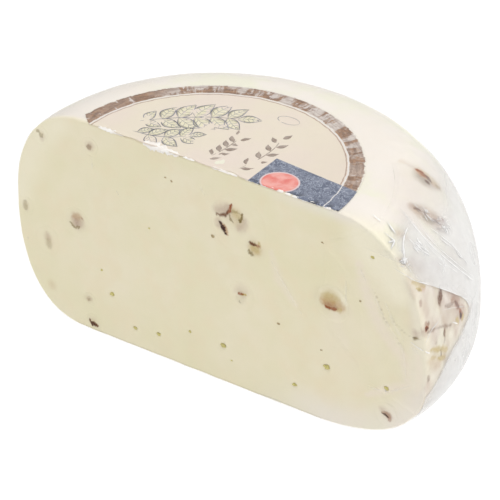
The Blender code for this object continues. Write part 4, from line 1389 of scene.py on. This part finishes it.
def bunched(p):
    """How crinkled the film is: a little everywhere, and fully at the bunched places."""
    total = np.full(p.shape[:-1], 0.08)
    for side, height, reach, *_ in CRINKLES:
        away = np.linalg.norm(p - heel_points((side, height)), axis=-1) * 1000 / reach
        total = np.maximum(total, 0.9 * ease(1.3, 0.5, away))
    return total


def make_second_layer(material):
    """The second, milky layer of film on the heel, between the window's edge and a rim that fades out.

    Rows go from the window's edge to the rim along great arcs about the heart; two such sheets, a
    little apart, are sewn together along the border.
    """
    columns, rows = 240, 90
    inner = unit(window_edge(columns) - HEART)
    outer = unit(curved(heel_tilts(SECOND_LAYER_RIM), columns) - HEART)
    way = (np.linspace(0, 1, rows) ** 1.3)[:, None, None]
    skin = cast(HEART + unit(inner + way * (outer - inner)))
    for _ in range(3):
        skin[..., 1] = np.maximum(skin[..., 1], CUT_FOOT_Y + CUT_LEAN * skin[..., 2] + 0.0009)
        skin = cast(skin)
    share = np.broadcast_to(way[..., 0], skin.shape[:-1])
    diagonal = np.stack([skin @ np.array((0.5, 0.55, 0.35)), 0.25 * skin[..., 2]], axis=-1)
    crest = wrinkles(diagonal, 0.0075, 81)
    loose = ease(0.0, 0.12, share)
    rise = 0.00007 + loose * (0.00008 + 0.00006 * crest + 0.00002 * ripples(skin, 0.006, 82))
    lower_edge = ease(0.48, 0.56, np.linspace(0, 1, columns))
    fade = ease(1.0, 0.40, share) * (1 - lower_edge * ease(0.07, 0.0, share))
    haze = (panel_haze(skin) + 0.04 * ripples(skin, 0.018, 83) + 0.05 * crest) * fade
    values = {"haze": haze, "cover": fade, "crinkle": bunched(skin)}
    dress(new_piece("film_second_layer", *sheet(skin, -rise, 0.00005, values)), material, "film")


def crinkle_lines(count):
    """Short bent folds scattered round each bunched place, pointing roughly outward from it; and widths."""
    draw = np.random.default_rng(90)
    lines = []
    for side, height, reach, folds, half in CRINKLES:
        for _ in range(folds):
            turn = draw.uniform(0, 2 * np.pi)
            near, far = draw.uniform(0.05, 0.4) * reach, draw.uniform(0.6, 1.0) * reach
            bend = draw.uniform(-0.5, 0.5)
            radii = np.array((near, (near + far) / 2, far))
            turns = turn + bend * np.array((0, 0.5, 1.0))
            sides, heights = side + radii * np.cos(turns) / 1.45, height + radii * np.sin(turns)
            places = np.stack([sides, heights], axis=-1)
            line = curved(heel_points(np.minimum(places, (200.0, 84.0))), count)
            lines.append((line, half * draw.uniform(0.6, 1.4) / 1000))
    return lines


def rear_crease_lines(count):
    """Long gentle creases over the rear of the heel, slanting like those at its right; and widths."""
    draw = np.random.default_rng(91)
    lines = []
    for side in np.linspace(45, 176, 15):
        top, low = draw.uniform(50, 78), draw.uniform(8, 32)
        slant = draw.uniform(6, 20)
        places = []
        for t in (0, 0.35, 0.7, 1.0):
            tilt = (top + (low - top) * t - 1000 * RING_HEIGHT) * 1.7
            places.append((side + slant * (t - 0.5) + draw.uniform(-2, 2), tilt))
        lines.append((curved(heel_tilts(places), count), draw.uniform(0.2, 0.4) / 1000))
    return lines


def make_creases(material):
    """Every pinched crease of the film: low uneven ridges along lines on the skin, joined.

    Each row is a line, half width, height, haze and crinkle. Where the film is slack, the ridges are
    lifted onto its second layer. The milky white of the heel's creases, the window's edge and the fine
    folds is partly the film whitened where pinched and partly painted highlight, standing in for glints.
    """
    count = CREASE_POINTS
    rows = []
    for table, on_skin, wider, lower, haze, crinkle in (
        # heel creases: milky white, partly painted highlight for the film's glints
        (HEEL_CREASES, heel_points, 1.0, 0.2, 0.85, 0.5),
        (FACE_CREASES, face_points, 1.6, 0.15, 0.10, 0.02),
    ):
        for half, high, *places in table:
            width, height = wider * half / 1000, lower * high / 1000
            rows.append((curved(on_skin(places), count), width, height, haze, crinkle))
    # window's edge: a milky line, partly painted highlight
    rows.append((window_edge(2 * count)[:count], 0.00022, 0.00004, 0.70, 0.2))
    # fine folds: milky white, partly painted highlight for the film's glints
    rows += [(line, width, 0.25 * width, 0.85, 0.6) for line, width in crinkle_lines(count)]
    rows += [(line, width, 0.3 * width, 0.45, 0.2) for line, width in rear_crease_lines(count)]
    lines, widths, heights, haze, crinkle = (np.array(column) for column in zip(*rows))
    uneven = np.clip(1 + 0.55 * ripples(lines, 0.0035, 92), 0.3, 1.6)
    points, faces, normals = ridges(lines, uneven * widths[:, None], uneven * heights[:, None], 0.0)
    lift = np.where(heel_slack(lines).mean(1) > 0.4, 0.00022, 0.00006)
    points = points + skin_normal(cast(points)) * lift[:, None, None]
    crown = np.clip(np.sin(2 * np.pi * np.arange(RIDGE_POINTS) / RIDGE_POINTS), 0, 1)
    cover = np.broadcast_to(np.concatenate([[0], np.tile(crown, count - 2), [0]]), points.shape[:2])
    haze = np.broadcast_to(haze[:, None], cover.shape)
    values = {"haze": haze, "cover": cover, "crinkle": crinkle[:, None] * cover}
    dress(new_piece("film_creases", points, faces, values, normals), material, "film")


# ================================================================ stage
def main_camera():
    """The camera at the photograph's viewing angle: back from its target along azimuth and elevation."""
    azimuth, elevation, roll = (math.radians(a) for a in (CAMERA_AZIMUTH, CAMERA_ELEVATION, CAMERA_ROLL))
    out = math.cos(elevation)
    back = np.array((math.sin(azimuth) * out, -math.cos(azimuth) * out, math.sin(elevation)))
    level = unit(np.cross((0, 0, 1), back))
    upright = np.cross(back, level)
    place = np.eye(4)
    place[:3, 0] = level * math.cos(roll) + upright * math.sin(roll)
    place[:3, 1] = upright * math.cos(roll) - level * math.sin(roll)
    place[:3, 2] = back
    place[:3, 3] = np.array(CAMERA_TARGET) + back * CAMERA_DISTANCE
    data = bpy.data.cameras.new("camera")
    data.sensor_width = SENSOR_MM
    data.lens = SENSOR_MM * FOCAL_PIXELS / PHOTO_PIXELS
    data.clip_end = 30.0
    camera = bpy.data.objects.new("camera", data)
    camera.matrix_world = Matrix(place.tolist())
    bpy.context.scene.collection.objects.link(camera)
    bpy.context.scene.camera = camera


def softbox(name, place, aim, width, length, watts):
    """A soft area light at a place, turned toward a point."""
    data = bpy.data.lights.new(name, "AREA")
    data.shape = "RECTANGLE"
    data.size = width
    data.size_y = length
    data.energy = watts
    light = bpy.data.objects.new(name, data)
    back = unit(np.array(place, float) - np.array(aim, float))
    across = unit(np.cross((0, 0, 1.0), back)) if abs(back[2]) < 0.99 else np.array((1.0, 0, 0))
    turned = np.eye(4)
    for column, axis in enumerate((across, np.cross(back, across), back, place)):
        turned[:3, column] = axis
    light.matrix_world = Matrix(turned.tolist())
    bpy.context.scene.collection.objects.link(light)


def make_stage():
    """White floor, even white surroundings and soft lights."""
    corners = FLOOR_SIZE * np.array(((-1.0, -1, 0), (1, -1, 0), (1, 1, 0), (-1, 1, 0)))
    floor = new_piece("floor", corners - np.array((0, 0, 0.0001)), [np.array(((0, 1, 2, 3),))])
    f = Finish("floor_white")
    matt = f.add("BsdfDiffuse", {"Color": (FLOOR_GREY, FLOOR_GREY, FLOOR_GREY, 1)}).outputs[0]
    glow = f.add("Emission", {"Color": (1, 1, 1, 1), "Strength": FLOOR_GLOW}).outputs[0]
    floor.data.materials.append(f.done(f.add("AddShader", {0: matt, 1: glow}).outputs[0]))
    world = bpy.data.worlds.new("studio")
    world.use_nodes = True
    sky = world.node_tree.nodes["Background"].inputs
    sky["Color"].default_value = (1, 1, 1, 1)
    sky["Strength"].default_value = SKY_GLOW
    bpy.context.scene.world = world
    bpy.context.scene.view_settings.view_transform = "Standard"
    for row in LIGHTS:
        softbox(*row)


# ================================================================ putting it together
PASTE = food_finish("cheese_paste", 0.0012, 0.00006)
make_cheese(PASTE)
make_heel_patch(PASTE)
make_face_patches(PASTE)
WALNUT = food_finish("walnut", 0.0005, 0.00015)
for order, walnut in enumerate(sorted(CRUMBS)):
    make_walnut(walnut, 100 + order, WALNUT)
WHEY = plain_finish("whey", paint(206, 196, 118), paint(190, 178, 104), 0.0012, 0.3)
FLECK = plain_finish("walnut_fleck", paint(190, 172, 130), paint(160, 140, 100), 0.0008)
make_specks("whey_specks", np.array(EYES) * (1, 1, 0.85), 0.00042, 0.25, 41, WHEY, "cheese")
make_specks("skin_specks", FLECKS, 0.00026, 0.25, 42, FLECK, "walnut_skin")
make_label()
make_label_prints()
make_torn_edge()
FILM = film_finish()
make_film(FILM)
make_second_layer(FILM)
make_creases(FILM)
make_stage()
main_camera()
